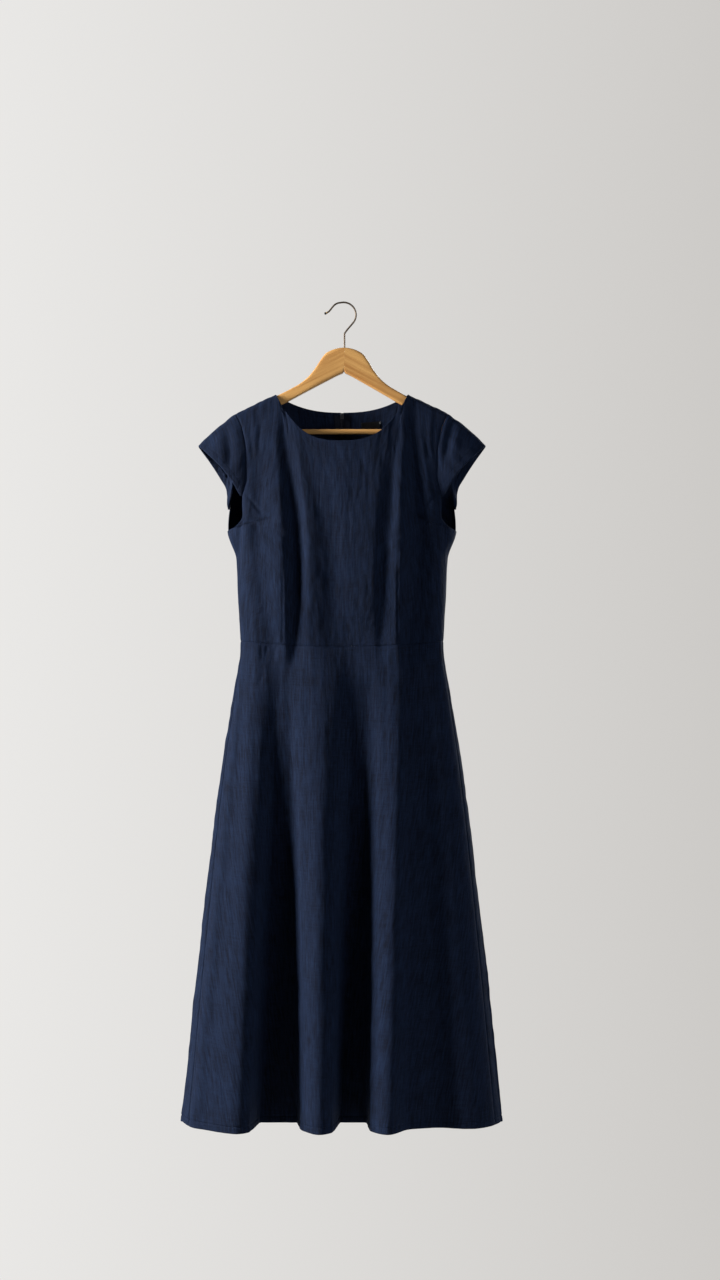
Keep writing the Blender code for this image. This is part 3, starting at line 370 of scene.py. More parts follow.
def body_point(angle, down):
    """The dress's outer surface. The angle is 0 at the right side, a quarter turn at the centre
    front, and negative round the back."""
    angle, down = np.broadcast_arrays(np.asarray(angle, float), np.asarray(down, float))
    across = across_at(angle, down)
    taper = 1.0 - np.abs(np.cos(angle)) ** at_level(down, "full")
    shape = taper ** (1.0 / at_level(down, "edge"))
    yoke = 1.0 - smooth_step((down - SHOULDER_DOWN) / YOKE_HEIGHT)
    blunt = np.sqrt(1.0 - (1.0 - np.minimum(np.abs(np.sin(angle)) / YOKE_BLUNT, 1.0)) ** 2)
    over_arm = shape + yoke * (np.maximum(blunt, shape) - shape)
    drop = np.maximum(down - ridge_down(across), 0.0)
    rounded = np.sqrt(1.0 - (1.0 - np.minimum(drop / SHOULDER_ROUND, 1.0)) ** 2)
    leaving = 1.0 - np.exp(-drop / DRAPE_REACH)
    deep = np.zeros(angle.shape)
    in_front = np.sin(angle) >= 0
    for side, chosen, sign in (("front", in_front, -1.0), ("back", ~in_front, 1.0)):
        full = SHOULDER_ROUND * rounded * over_arm + at_level(down, side) * leaving * shape
        taken = np.minimum(folds(across, down, side) * leaving, MOST_FOLD * full)
        deep = np.where(chosen, sign * (full - taken), deep)
    return np.stack([CENTRE_X + across, deep, -down], axis=-1)


def body_normal(angle, down):
    """Outward normal of the dress's surface, from points a little way off on each side."""
    turn, step = 0.02, 0.001
    along = body_point(angle + turn, down) - body_point(angle - turn, down)
    below = body_point(angle, down + step) - body_point(angle, down - step)
    return unit(np.cross(along, below))


def angle_at(across, down, side):
    """The angle at which the surface is that far across, away from the underarm corner."""
    angle = np.arccos(np.clip(across / at_level(down, "half"), -1.0, 1.0))
    return angle if side == "front" else -angle


def unit(vectors):
    return vectors / np.maximum(np.linalg.norm(vectors, axis=-1, keepdims=True), 1e-12)


def arc(points, axis):
    """Distance travelled over a grid of points along one of its axes, from 0."""
    steps = np.linalg.norm(np.diff(points, axis=axis), axis=-1)
    start = np.zeros_like(np.take(steps, [0], axis=axis))
    return np.concatenate([start, np.cumsum(steps, axis=axis)], axis=axis)


def waves(seed, a, b, length_a, length_b, count=14):
    """Smooth unevenness, about -1 to 1, with typical wavelengths along a and b."""
    rng = np.random.default_rng(seed)
    total = np.zeros(np.broadcast(a, b).shape)
    for _ in range(count):
        turn_a = rng.normal() * 2 * math.pi / length_a
        turn_b = rng.normal() * 2 * math.pi / length_b
        total += np.cos(turn_a * a + turn_b * b + rng.uniform(0, 2 * math.pi))
    return total / math.sqrt(count)


# ---------------------------------------------------------------- creases, darts and seams
# Each runs from one place to another, given as x and the distance down, and bows to one side.
# deep is how far it sinks (or stands, when negative), wide is its half width, and start and end
# are the shares of that depth it still has at its two ends.
Crease = namedtuple("Crease", "x0 down0 x1 down1 bow deep wide start end")
CREASES = {
    "bodice_front": rows_of(
        Crease,
        # the darts: fine sewn lines
        (-0.1590, 0.3020, -0.0925, 0.3740, 0.004, 0.0016, 0.0022, 0.5, 0.6),
        (0.1510, 0.2940, 0.0860, 0.3760, -0.006, 0.0010, 0.0022, 0.4, 0.4),
        (-0.0984, 0.5480, -0.0975, 0.4080, 0.001, 0.0011, 0.0016, 1.0, 0.1),
        (0.0848, 0.5480, 0.0848, 0.3830, -0.001, 0.0011, 0.0016, 1.0, 0.1),
        # the front folds inwards below the front end of each sleeve
        (-0.1650, 0.3350, -0.1700, 0.4300, 0.001, 0.0030, 0.0050, 1.0, 0.0),
        (0.1580, 0.3300, 0.1600, 0.4000, -0.001, 0.0016, 0.0050, 0.6, 0.0),
        # pulls from the shoulders towards the bust
        (-0.1500, 0.1900, -0.1420, 0.2600, 0.002, 0.0009, 0.0040, 0.2, 0.0),
        (-0.1300, 0.1900, -0.1380, 0.2500, 0.002, 0.0010, 0.0035, 0.1, 0.0),
        (0.1270, 0.1850, 0.1350, 0.2700, 0.002, 0.0010, 0.0040, 0.2, 0.0),
        (0.1420, 0.1880, 0.1430, 0.2500, 0.001, 0.0009, 0.0030, 0.2, 0.0),
    ),
    "bodice_back_left": rows_of(
        Crease,
        (-0.0860, 0.5480, -0.0900, 0.3900, 0.001, 0.0011, 0.0016, 1.0, 0.1),
    ),
    "bodice_back_right": rows_of(
        Crease,
        (0.0780, 0.5480, 0.0830, 0.3900, 0.001, 0.0011, 0.0016, 1.0, 0.1),
    ),
    "sleeve_right": rows_of(
        Crease,
        # beside the sleeve seams
        (0.1745, 0.1860, 0.1610, 0.2640, 0.004, 0.0032, 0.0060, 0.3, 0.0),
    ),
    "sleeve_left": rows_of(
        Crease,
        (-0.1900, 0.1920, -0.1830, 0.2760, -0.003, 0.0026, 0.0065, 0.2, 0.0),
    ),
    "skirt_front": rows_of(
        Crease,
        # short gathers under the waist seam
        (-0.1320, 0.5480, -0.1310, 0.5720, 0.000, 0.0010, 0.0026, 1.0, 0.0),
        (-0.1230, 0.5480, -0.1250, 0.5800, 0.001, 0.0012, 0.0028, 1.0, 0.0),
        (-0.1080, 0.5490, -0.1110, 0.5730, 0.001, 0.0009, 0.0026, 1.0, 0.0),
        (0.0955, 0.5480, 0.1110, 0.6080, 0.002, 0.0009, 0.0050, 1.0, 0.0),
        (-0.1400, 0.6120, -0.1260, 0.5880, 0.001, 0.0008, 0.0030, 0.0, 0.0),
    ),
}


CREASE_POINTS = 15
CREASE_FADE = 0.35  # a crease fades in and out over this share of its length
LIP_AWAY, LIP_HIGH = 2.2, 0.30  # the cloth rises a little on each side of it


def crease_relief(panel, x, down):
    total = np.zeros(x.shape)
    t = np.linspace(0.0, 1.0, CREASE_POINTS)
    for row in CREASES.get(panel, ()):
        start, end = np.array([row.x0, row.down0]), np.array([row.x1, row.down1])
        along = end - start
        side = np.array([-along[1], along[0]]) / np.linalg.norm(along)
        line = start + t[:, None] * along + (4 * t * (1 - t) * row.bow)[:, None] * side
        reach = 5 * row.wide
        low, high = line.min(0) - reach, line.max(0) + reach
        near = (x > low[0]) & (x < high[0]) & (down > low[1]) & (down < high[1])
        if not near.any():
            continue
        px, pd = x[near], down[near]
        best, share = np.full(px.shape, 9.0), np.zeros(px.shape)
        for k in range(len(t) - 1):
            a, b = line[k], line[k + 1]
            ab = b - a
            s = np.clip(((px - a[0]) * ab[0] + (pd - a[1]) * ab[1]) / (ab @ ab), 0.0, 1.0)
            away = np.hypot(px - a[0] - s * ab[0], pd - a[1] - s * ab[1])
            closer = away < best
            best = np.where(closer, away, best)
            share = np.where(closer, (k + s) / (len(t) - 1), share)
        fade_in = row.start + (1 - row.start) * smooth_step(share / CREASE_FADE)
        fade_out = row.end + (1 - row.end) * smooth_step((1 - share) / CREASE_FADE)
        lips = LIP_HIGH * np.exp(-(((best - LIP_AWAY * row.wide) / row.wide) ** 2))
        groove = np.exp(-((best / row.wide) ** 2))
        total[near] -= row.deep * (fade_in * fade_out) * (groove - lips)
    return total


# ---------------------------------------------------------------- making objects
def add_object(name, data):
    made = bpy.data.objects.new(name, data)
    bpy.context.scene.collection.objects.link(made)
    return made


def edit_mesh(mesh, edit):
    """Runs edit on the mesh's faces, edges and corners, and shades it smooth."""
    made = bmesh.new()
    made.from_mesh(mesh)
    edit(made)
    made.to_mesh(mesh)
    made.free()
    mesh.shade_smooth()


def store_cut(mesh, places):
    """Where each point lies on the flat material, for the material's pattern."""
    stored = mesh.attributes.new("cut", "FLOAT_VECTOR", "POINT")
    stored.data.foreach_set("vector", np.ascontiguousarray(places, float).ravel())


# ---------------------------------------------------------------- cloth shells
HEM_TURN = 0.0095  # the hem is turned up this far
HEM_EXTRA = 0.0011  # and this much thicker
EDGE_BULGE = 0.45  # a folded edge rounds outwards by this share of its thickness


def turn_outwards(made):
    if made.calc_volume(signed=True) < 0:
        bmesh.ops.reverse_faces(made, faces=made.faces)


def shell(name, outer, normals, free, thick, cut):
    """A closed thin shell. free names the grid's edges that show as folded, rounded edges, of
    "top", "bottom", "first" and "last". thick is a number or a grid of them, and cut says
    where each point of the grid lies on the flat cloth."""
    rows, columns = outer.shape[:2]
    thick = np.broadcast_to(np.asarray(thick, float), (rows, columns))
    inner = outer - normals * thick[..., None]
    number = np.arange(rows * columns).reshape(rows, columns)
    ring = np.concatenate([number[0, :], number[1:, -1], number[-1, -2::-1], number[-2:0:-1, 0]])
    outward = np.zeros_like(outer)
    bulge = np.zeros((rows, columns))
    for edge, own, next_in in (
        ("top", (0, slice(None)), (1, slice(None))),
        ("bottom", (-1, slice(None)), (-2, slice(None))),
        ("first", (slice(None), 0), (slice(None), 1)),
        ("last", (slice(None), -1), (slice(None), -2)),
    ):
        if edge in free:
            outward[own] += unit(outer[own] - outer[next_in])
            bulge[own] = thick[own] * EDGE_BULGE
    outward = unit(outward) * bulge[..., None]
    middle = ((outer + inner) / 2 + outward).reshape(-1, 3)[ring]
    points = np.concatenate([outer.reshape(-1, 3), inner.reshape(-1, 3), middle])
    under, mid = rows * columns, 2 * rows * columns
    quads = np.stack([number[:-1, :-1], number[:-1, 1:], number[1:, 1:], number[1:, :-1]], -1)
    quads = quads.reshape(-1, 4)
    after = np.roll(ring, -1)
    m = mid + np.arange(len(ring))
    m_after = np.roll(m, -1)
    faces = np.concatenate(
        [
            quads,
            under + quads[:, ::-1],
            np.stack([after, ring, m, m_after], -1),
            np.stack([m_after, m, under + ring, under + after], -1),
        ]
    )
    mesh = bpy.data.meshes.new(name)
    mesh.from_pydata(points.tolist(), [], faces.tolist())
    edit_mesh(mesh, turn_outwards)
    flat = cut.reshape(-1, 2)
    places = np.zeros((len(points), 3))
    places[:, :2] = np.concatenate([flat, flat, flat[ring]])
    places[under:mid, 2] = 1.0
    store_cut(mesh, places)
    return add_object(name, mesh)


def spread(parts):
    """Joins runs of even steps: (from, to, steps) rows that follow on from each other."""
    values = [np.array([parts[0][0]])]
    for start, end, steps in parts:
        values.append(np.linspace(start, end, steps + 1)[1:])
    return np.concatenate(values)


BODICE_COLUMNS, BODICE_SHOULDER_COLUMNS = 248, 50
BEND_ROWS, SLEEVE_ROWS, UNDER_SLEEVE_ROWS, SIDE_ROWS = 6, 38, 18, 84
SEAM_BAND, SEAM_BAND_ROWS = 0.006, 5  # finer rows along the waist seam


def waist_end():
    return float(waist_down(across_at(at_level(WAIST_DOWN, "seam"), WAIST_DOWN)))


def bodice_rows(side):
    """Shares of the way down a side edge, closer together at the shoulder and the waist."""
    quarter = np.linspace(0.0, math.pi / 2, BEND_ROWS + 1)
    bends = SHOULDER_DOWN + SHOULDER_ROUND * (1.0 - np.cos(quarter))
    sleeve_end, end = SLEEVE_END_DOWN[side], waist_end()
    below = spread(
        [
            (SHOULDER_DOWN + SHOULDER_ROUND, sleeve_end, SLEEVE_ROWS),
            (sleeve_end, UNDERARM_DOWN, UNDER_SLEEVE_ROWS),
            (UNDERARM_DOWN, end - SEAM_BAND, SIDE_ROWS),
            (end - SEAM_BAND, end, SEAM_BAND_ROWS),
        ]
    )
    downs = np.concatenate([bends, below[1:]])
    return (downs - SHOULDER_DOWN) / (end - SHOULDER_DOWN)


def patch(bottom, top, first, last, rows, columns):
    """Angles and downs filled in between four edges. bottom and top are functions of the share
    across, first and last of the share down, and each gives (angle, down)."""
    a, d = columns[None, :, None], rows[:, None, None]
    low, high = np.stack(bottom(columns), -1)[None], np.stack(top(columns), -1)[None]
    start, end = np.stack(first(rows), -1)[:, None], np.stack(last(rows), -1)[:, None]
    corners = (1 - d) * ((1 - a) * high[:, :1] + a * high[:, -1:]) + d * (
        (1 - a) * low[:, :1] + a * low[:, -1:]
    )
    filled = (1 - d) * high + d * low + (1 - a) * start + a * end - corners
    return filled[..., 0], filled[..., 1]


def armhole_edge(share, side, right):
    """The side edge of a bodice panel: the armhole, then the side seam down to the waist."""
    down = SHOULDER_DOWN + share * (waist_end() - SHOULDER_DOWN)
    open_edge = through(down, column(ARMHOLE, "down"), column(ARMHOLE, side))
    gap = SEAM_GAP / 2 / at_level(down, "front")
    sewn = at_level(down, "seam") + (gap if side == "front" else -gap)
    angle = np.where(down < UNDERARM_DOWN - 1e-6, open_edge, sewn)
    if not right:
        angle = math.pi - angle if side == "front" else -math.pi - angle
    return angle, down


def bodice_grid(side, half=None):
    """Outer points and normals of a bodice panel. half is None, "right" or "left"."""
    power, lowest = {
        "front": (FRONT_NECK_POWER, FRONT_NECK_DOWN),
        "back": (BACK_NECK_POWER, BACK_NECK_DOWN),
    }[side]
    shoulder = BODICE_SHOULDER_COLUMNS
    neck = BODICE_COLUMNS - 2 * shoulder
    out = np.linspace(SHOULDER_HALF, NECK_HALF, shoulder + 1)
    curve = NECK_HALF * np.cos(math.pi * np.arange(1, neck) / neck)
    across = np.concatenate([out, curve, -out[::-1]])
    shares = np.linspace(0.0, 1.0, BODICE_COLUMNS + 1)
    sign = -1.0 if half == "left" else 1.0
    if half is not None:
        middle = BODICE_COLUMNS // 2
        chosen = slice(0, middle + 1) if half == "right" else slice(middle, None)
        across, shares = across[chosen], shares[chosen]
        across = np.where(np.abs(across) < SEAM_GAP, sign * ZIP_TOP_HALF, across)
    on_shoulder = np.abs(across) >= NECK_HALF - 1e-9
    top_down = np.where(on_shoulder, ridge_down(across), neck_down(across, lowest, power))
    top_angle = angle_at(across, top_down, side)
    columns = (shares - shares[0]) / (shares[-1] - shares[0])

    def top(_):
        return top_angle, top_down

    def centre(rows):
        down = lowest + rows * (WAIST_DOWN - lowest)
        closed = np.clip((down - lowest) / ZIP_TOP_DEEP, 0.0, 1.0)
        across = ZIP_TOP_HALF + (SEAM_GAP / 2 - ZIP_TOP_HALF) * closed
        return angle_at(sign * across, down, side), down

    def edge(right):
        return lambda rows: armhole_edge(rows, side, right)

    first = centre if half == "left" else edge(True)
    last = centre if half == "right" else edge(False)
    start, end = first(np.array([1.0]))[0][0], last(np.array([1.0]))[0][0]

    def bottom(share):
        angle = start + (end - start) * share
        return angle, waist_down(across_at(angle, WAIST_DOWN)) - SEAM_GAP / 2

    angle, down = patch(bottom, top, first, last, bodice_rows(side), columns)
    outer, normals = body_point(angle, down), body_normal(angle, down)
    for place, right in ((0, True), (-1, False)):
        if half in (None, "right" if right else "left"):
            sewn = down[:, place] > UNDERARM_DOWN - 1e-6
            level = down[sewn, place]
            seam = at_level(level, "seam")
            normals[sewn, place] = body_normal(seam if right else math.pi - seam, level)
    outer[0, on_shoulder, 1] = -SEAM_GAP / 2 if side == "front" else SEAM_GAP / 2
    slope = np.sign(across) * SHOULDER_SLOPE
    upright = unit(np.stack([slope, np.zeros_like(slope), np.ones_like(slope)], -1))
    normals[0] = np.where(on_shoulder[:, None], upright, normals[0])
    return outer, normals


# ---------------------------------------------------------------- skirt
SKIRT_FRONT_COLUMNS, SKIRT_BACK_COLUMNS = 216, 108
FINE = 1200  # points round the body from which a row of the skirt is measured out
HEM_BAND = 0.014


def skirt_ends(side, half, down):
    """The angles between which a skirt panel lies at one level."""
    seam = float(at_level(down, "seam"))
    gap = SEAM_GAP / 2 / float(at_level(down, "front"))
    if side == "front":
        return seam + gap, math.pi - seam - gap
    sign = -1.0 if half == "left" else 1.0
    middle = float(angle_at(sign * SEAM_GAP / 2, down, "back"))
    return (middle, seam - gap) if half == "right" else (-math.pi - seam + gap, middle)


def skirt_grid(side, half=None):
    """Outer points and normals of a skirt panel, its columns evenly spaced at every level."""
    count = SKIRT_FRONT_COLUMNS if side == "front" else SKIRT_BACK_COLUMNS
    top, length = WAIST_DOWN + SEAM_GAP / 2, HEM_DOWN - WAIST_DOWN - SEAM_GAP / 2
    near_hem = length - HEM_BAND
    steps = spread(
        [
            (0.0, SEAM_BAND, SEAM_BAND_ROWS),
            (SEAM_BAND, near_hem, 132),
            (near_hem, length, 14),
        ]
    )
    grids, tangents = [], []
    for share in steps / length:
        level = min(top + share * length, HEM_DOWN)
        low, high = skirt_ends(side, half, level)
        angles = np.linspace(low - 0.05, high + 0.05, FINE)
        rise = waist_down(across_at(angles, level)) - WAIST_DOWN
        points = body_point(angles, level + rise * (1.0 - share))
        along = arc(points, 0)
        first, last = np.interp(low, angles, along), np.interp(high, angles, along)
        places = np.linspace(first, last, count + 1)

        def at(distance):
            return np.stack([np.interp(distance, along, points[:, k]) for k in range(3)], -1)

        grids.append(at(places))
        tangents.append(at(places + 0.002) - at(places - 0.002))
    outer = np.array(grids)
    return outer, unit(np.cross(np.array(tangents), np.gradient(outer, axis=0)))


# ---------------------------------------------------------------- sleeves
def sleeve_seam(right):
    """The armhole from front to back: its points, the normals there and the way out of it."""
    sign = 1.0 if right else -1.0
    points, normals, away = [], [], []
    for side in ("front", "back"):
        rows = bodice_rows(side)[: BEND_ROWS + SLEEVE_ROWS + 1]
        angle, down = armhole_edge(rows, side, right)
        seam = body_point(angle, down)
        towards = -0.01 if (side == "front") == right else 0.01
        aside = body_point(angle + towards, down) - seam
        normal = body_normal(angle, down)
        seam[0, 1] = 0.0
        normal[0] = unit(np.array([sign * SHOULDER_SLOPE, 0.0, 1.0]))
        aside[0] = (sign, 0.0, -SHOULDER_SLOPE)
        order = slice(None, 0, -1) if side == "front" else slice(None)
        points.append(seam[order])
        normals.append(normal[order])
        away.append(unit(aside)[order])
    return np.concatenate(points), np.concatenate(normals), np.concatenate(away)


def sleeve_grid(right):
    """Outer points and normals of a cap sleeve, between its seam and its open edge."""
    sign = 1.0 if right else -1.0
    seam, seam_normals, away = sleeve_seam(right)
    seam = seam + away * SEAM_GAP
    top = BEND_ROWS + SLEEVE_ROWS
    along = arc(seam, 0)
    behind = (along - along[top]) / (along[-1] - along[top])
    share = np.where(along < along[top], along / along[top] - 1.0, behind)
    edge_table = np.array([(CENTRE_X + sign * p.out, p.back_y, -p.down) for p in SLEEVE_EDGE])
    edge_table[0] = seam[0] + away[0] * SLEEVE_END_WIDTH
    edge_table[-1] = seam[-1] + away[-1] * SLEEVE_END_WIDTH
    knots = np.linspace(-1.0, 1.0, len(SLEEVE_EDGE))
    open_edge = np.stack([spline(share, knots, edge_table[:, k]) for k in range(3)], -1)
    out = spread([(0.0, 0.08, 4), (0.08, 0.78, 22), (0.78, 1.0, 12)])[:, None, None]
    flat = (1.0 - out) * seam + out * open_edge
    fade = np.cos(share * math.pi / 2)[None, :, None] * 0.8 + 0.2
    outer = flat + grid_normals(flat, sign) * SLEEVE_CROWN * 4.0 * out * (1.0 - out) * fade
    normals = grid_normals(outer, sign)
    normals[0] = seam_normals
    return outer, normals


def grid_normals(points, sign):
    outwards, round_arm = np.gradient(points, axis=0), np.gradient(points, axis=1)
    return sign * unit(np.cross(outwards, round_arm))


# ---------------------------------------------------------------- fine relief
def linen_relief(seed, a, b):
    """The cloth's own unevenness: long soft streaks down it and small crumples."""
    total = waves(seed, a, b, 0.024, 0.200) * 0.00022
    for offset, wide, long, deep in (
        (1, 0.060, 0.070, 0.00030),
        (2, 0.010, 0.050, 0.00006),
        (3, 0.0075, 0.033, 0.00006),
        (4, 0.022, 0.032, 0.00017),
    ):
        total = total + waves(seed + offset, a, b, wide, long) * deep
    return total


def seam_roll(distance, deep=0.0007, wide=0.0022):
    return -deep * np.exp(-((distance / wide) ** 2))


SEAM_CALM = 0.010  # the cloth's unevenness dies down this near a seam
# The edge that a back panel's threads run down along, 0 the first and -1 the last. It is beside
# the zip on the skirt and the side seam on the bodice. The others' run down their middle.
STRAIGHT = {
    "bodice_back_right": 0, "skirt_back_right": 0, "bodice_back_left": -1, "skirt_back_left": -1,
}


def finished(name, seed, outer, normals, seams, free, hem=None):
    """Adds the fine relief to a panel and makes its shell, which is returned with the panel's
    outer points. seams names its sewn edges, and hem the edge that is turned under."""
    a, b = arc(outer, 1), arc(outer, 0)
    x, down = outer[..., 0], -outer[..., 2]
    is_sleeve = name.startswith("sleeve")
    from_edges = {"top": b, "bottom": b[-1:, :] - b, "first": a, "last": a[:, -1:] - a}
    middle = a.shape[1] // 2
    relief = linen_relief(seed, a - a[:, middle][:, None], b) + crease_relief(name, x, down)
    calm = np.ones(outer.shape[:2])
    for edge in seams:
        calm *= smooth_step(from_edges[edge] / SEAM_CALM) * 0.9 + 0.1
    relief = relief * calm
    for edge in seams:
        relief = relief + seam_roll(from_edges[edge])
    thick = np.full(outer.shape[:2], CLOTH)
    if hem:
        above = from_edges[hem] - HEM_TURN
        relief = relief + seam_roll(above, 0.0003 if is_sleeve else 0.0009, 0.0011)
        pucker = waves(seed + 7, a, b, 0.013, 9.0) * 0.00042
        relief = relief + pucker * np.exp(-((above / 0.007) ** 2))
        thick = thick + HEM_EXTRA * smooth_step((HEM_TURN + 0.001 - from_edges[hem]) / 0.0015)
    moved = outer + normals * relief[..., None]
    across = a - a[:, STRAIGHT.get(name, middle)][:, None]  # the threads run down from here
    cut = np.stack([b, across] if is_sleeve else [across + seed, b], -1)
    return shell("cloth_" + name, moved, normals, free, thick, cut), moved


# ---------------------------------------------------------------- materials
def new_material(name, roughness, metallic=0.0):
    made = bpy.data.materials.new(name)
    made.use_nodes = True
    tree = made.node_tree
    shader = tree.nodes["Principled BSDF"]
    set_inputs(shader, {"Roughness": roughness, "Metallic": metallic})
    return made, tree, shader


def set_inputs(shader, values):
    for name, value in values.items():
        shader.inputs[name].default_value = value


def node(tree, kind, **values):
    made = tree.nodes.new(kind)
    for name, value in values.items():
        if name in made.inputs:
            made.inputs[name].default_value = value
        else:
            setattr(made, name, value)
    return made


def scaled(tree, source, scale):
    mapping = node(tree, "ShaderNodeMapping")
    mapping.inputs["Scale"].default_value = scale
    tree.links.new(source, mapping.inputs["Vector"])
    return mapping.outputs[0]


def noise(tree, vector, scale, detail=2.0, roughness=0.5):
    made = node(tree, "ShaderNodeTexNoise", Scale=scale, Detail=detail, Roughness=roughness)
    tree.links.new(vector, made.inputs["Vector"])
    return made.outputs["Fac"]


def maths(tree, operation, a, b=None, c=None):
    made = tree.nodes.new("ShaderNodeMath")
    made.operation = operation
    for socket, value in zip(made.inputs, (a, b, c)):
        if value is None:
            continue
        if isinstance(value, (int, float)):
            socket.default_value = value
        else:
            tree.links.new(value, socket)
    return made.outputs[0]


def between(tree, factor, *ends):
    """Mixes two colours. Each end is where on the factor it lies, and its red, green and blue."""
    ramp = tree.nodes.new("ShaderNodeValToRGB")
    for element, (place, colour) in zip(ramp.color_ramp.elements, ends):
        element.position, element.color = place, (*colour, 1.0)
    tree.links.new(factor, ramp.inputs[0])
    return ramp.outputs[0]


def bump(tree, shader, height, distance, strength=1.0):
    made = node(tree, "ShaderNodeBump", Strength=strength, Distance=distance)
    tree.links.new(height, made.inputs["Height"])
    tree.links.new(made.outputs[0], shader.inputs["Normal"])


THREAD_PITCH = 0.0011


def cloth_material(name, dark, light):
    """Plain weave with thick and thin yarns. The cut attribute is in metres on the cloth."""
    made, tree, shader = new_material(name, 0.80)
    cut = node(tree, "ShaderNodeAttribute", attribute_name="cut").outputs["Vector"]

    def stretched(across, along, *details):
        return noise(tree, scaled(tree, cut, (1 / across, 1 / along, 1.0)), 1.0, *details)

    warp_slub = stretched(0.0025, 0.032, 3.0, 0.6)
    weft_slub = stretched(0.026, 0.0022, 3.0, 0.6)
    speckle = stretched(0.0015, 0.0022, 2.0, 0.6)
    cloudy = noise(tree, cut, 22.0, 3.0, 0.55)
    mixed = maths(tree, "MULTIPLY_ADD", warp_slub, 0.50, maths(tree, "MULTIPLY", weft_slub, 0.20))
    mixed = maths(tree, "MULTIPLY_ADD", speckle, 0.18, mixed)
    mixed = maths(tree, "MULTIPLY_ADD", cloudy, 0.12, mixed)
    colour = between(tree, mixed, (0.40, dark), (0.60, light))
    tree.links.new(colour, shader.inputs["Base Color"])
    turn = 2 * math.pi / THREAD_PITCH
    separate = tree.nodes.new("ShaderNodeSeparateXYZ")
    tree.links.new(cut, separate.inputs[0])
    warp = maths(tree, "SINE", maths(tree, "MULTIPLY", separate.outputs[0], turn))
    weft = maths(tree, "SINE", maths(tree, "MULTIPLY", separate.outputs[1], turn))
    weave = maths(tree, "MULTIPLY", maths(tree, "MULTIPLY", warp, weft), 0.25)
    height = maths(tree, "ADD", weave, maths(tree, "MULTIPLY", mixed, 1.6))
    wrinkle = stretched(0.0065, 0.034, 3.0, 0.5)
    patchy = noise(tree, scaled(tree, cut, (9.0, 6.0, 1.0)), 1.0, 1.0)
    creased = between(tree, patchy, (0.42, (0.25,) * 3), (0.62, (1.0,) * 3))
    wrinkled = maths(tree, "MULTIPLY", maths(tree, "MULTIPLY", wrinkle, creased), 2.6)
    bump(tree, shader, maths(tree, "ADD", height, wrinkled), 0.00045)
    set_inputs(shader, {"Sheen Weight": 0.025, "Sheen Roughness": 0.45})
    set_inputs(shader, {"Sheen Tint": (0.3, 0.5, 1.0, 1.0), "Specular IOR Level": 0.10})
    return made


def wood_material(name, dark, light):
    """Varnished wood. The cut attribute runs along the arm in x and across it in y."""
    made, tree, shader = new_material(name, 0.38)
    cut = node(tree, "ShaderNodeAttribute", attribute_name="cut").outputs["Vector"]
    bent = noise(tree, scaled(tree, cut, (3.0, 14.0, 14.0)), 1.0, 2.0)
    grain = noise(tree, scaled(tree, cut, (5.0, 150.0, 150.0)), 1.0, 5.0, 0.6)
    pores = noise(tree, scaled(tree, cut, (60.0, 1500.0, 1500.0)), 1.0, 2.0, 0.6)
    mixed = maths(tree, "MULTIPLY_ADD", grain, 0.6, maths(tree, "MULTIPLY", bent, 0.4))
    mixed = maths(tree, "MULTIPLY_ADD", pores, 0.12, mixed)
    colour = between(tree, mixed, (0.42, dark), (0.62, light))
    tree.links.new(colour, shader.inputs["Base Color"])
    bump(tree, shader, pores, 0.00008)
    set_inputs(shader, {"Coat Weight": 0.25, "Coat Roughness": 0.25})
    return made


def metal_material(name, colour, roughness):
    made, tree, shader = new_material(name, roughness, 1.0)
    set_inputs(shader, {"Base Color": (*colour, 1.0)})
    place = node(tree, "ShaderNodeTexCoord").outputs["Object"]
    worn = noise(tree, place, 400.0, 3.0)
    varied = maths(tree, "MULTIPLY_ADD", worn, 0.16, roughness - 0.08)
    tree.links.new(varied, shader.inputs["Roughness"])
    bump(tree, shader, worn, 0.000006)
    return made


def plain_weave_material(name, colour, roughness, pitch):
    made, tree, shader = new_material(name, roughness)
    place = node(tree, "ShaderNodeTexCoord").outputs["Object"]
    fine = noise(tree, scaled(tree, place, (1 / pitch, 1 / pitch, 0.5 / pitch)), 1.0, 2.0)
    dark, light = ([c * share for c in colour] for share in (0.7, 1.3))
    shade = between(tree, fine, (0.3, dark), (0.7, light))
    tree.links.new(shade, shader.inputs["Base Color"])
    bump(tree, shader, fine, 0.0002)
    set_inputs(shader, {"Specular IOR Level": 0.2})
    return made


def finish_piece(piece, look, body, slot, *replaced):
    piece.data.materials.clear()
    piece.data.materials.append(look)
    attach(piece, body)
    if replaced:
        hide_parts(*replaced)
    return piece


# ---------------------------------------------------------------- pieces made of rings
def new_piece(name, points, faces, cut=None):
    mesh = bpy.data.meshes.new(name)
    mesh.from_pydata(np.asarray(points).reshape(-1, 3).tolist(), [], faces)
    edit_mesh(mesh, lambda made: bmesh.ops.recalc_face_normals(made, faces=made.faces))
    if cut is not None:
        store_cut(mesh, cut)
    return add_object(name, mesh)


def ring_faces(stacks, around, first=0):
    """Quads between rings of points that follow on from each other, and an end at each side."""
    number = first + np.arange(stacks * around).reshape(stacks, around)
    after = np.roll(number, -1, axis=1)
    quads = np.stack([number[:-1], after[:-1], after[1:], number[1:]], -1).reshape(-1, 4)
    return quads.tolist() + [number[0, ::-1].tolist(), number[-1].tolist()]


def turns(sides):
    return 2 * math.pi * np.arange(sides) / sides


def circles(side, above, sides):
    """Points round unit circles that have side and above as their axes."""
    turn = turns(sides)[:, None]
    return np.cos(turn) * side[..., None, :] + np.sin(turn) * above[..., None, :]


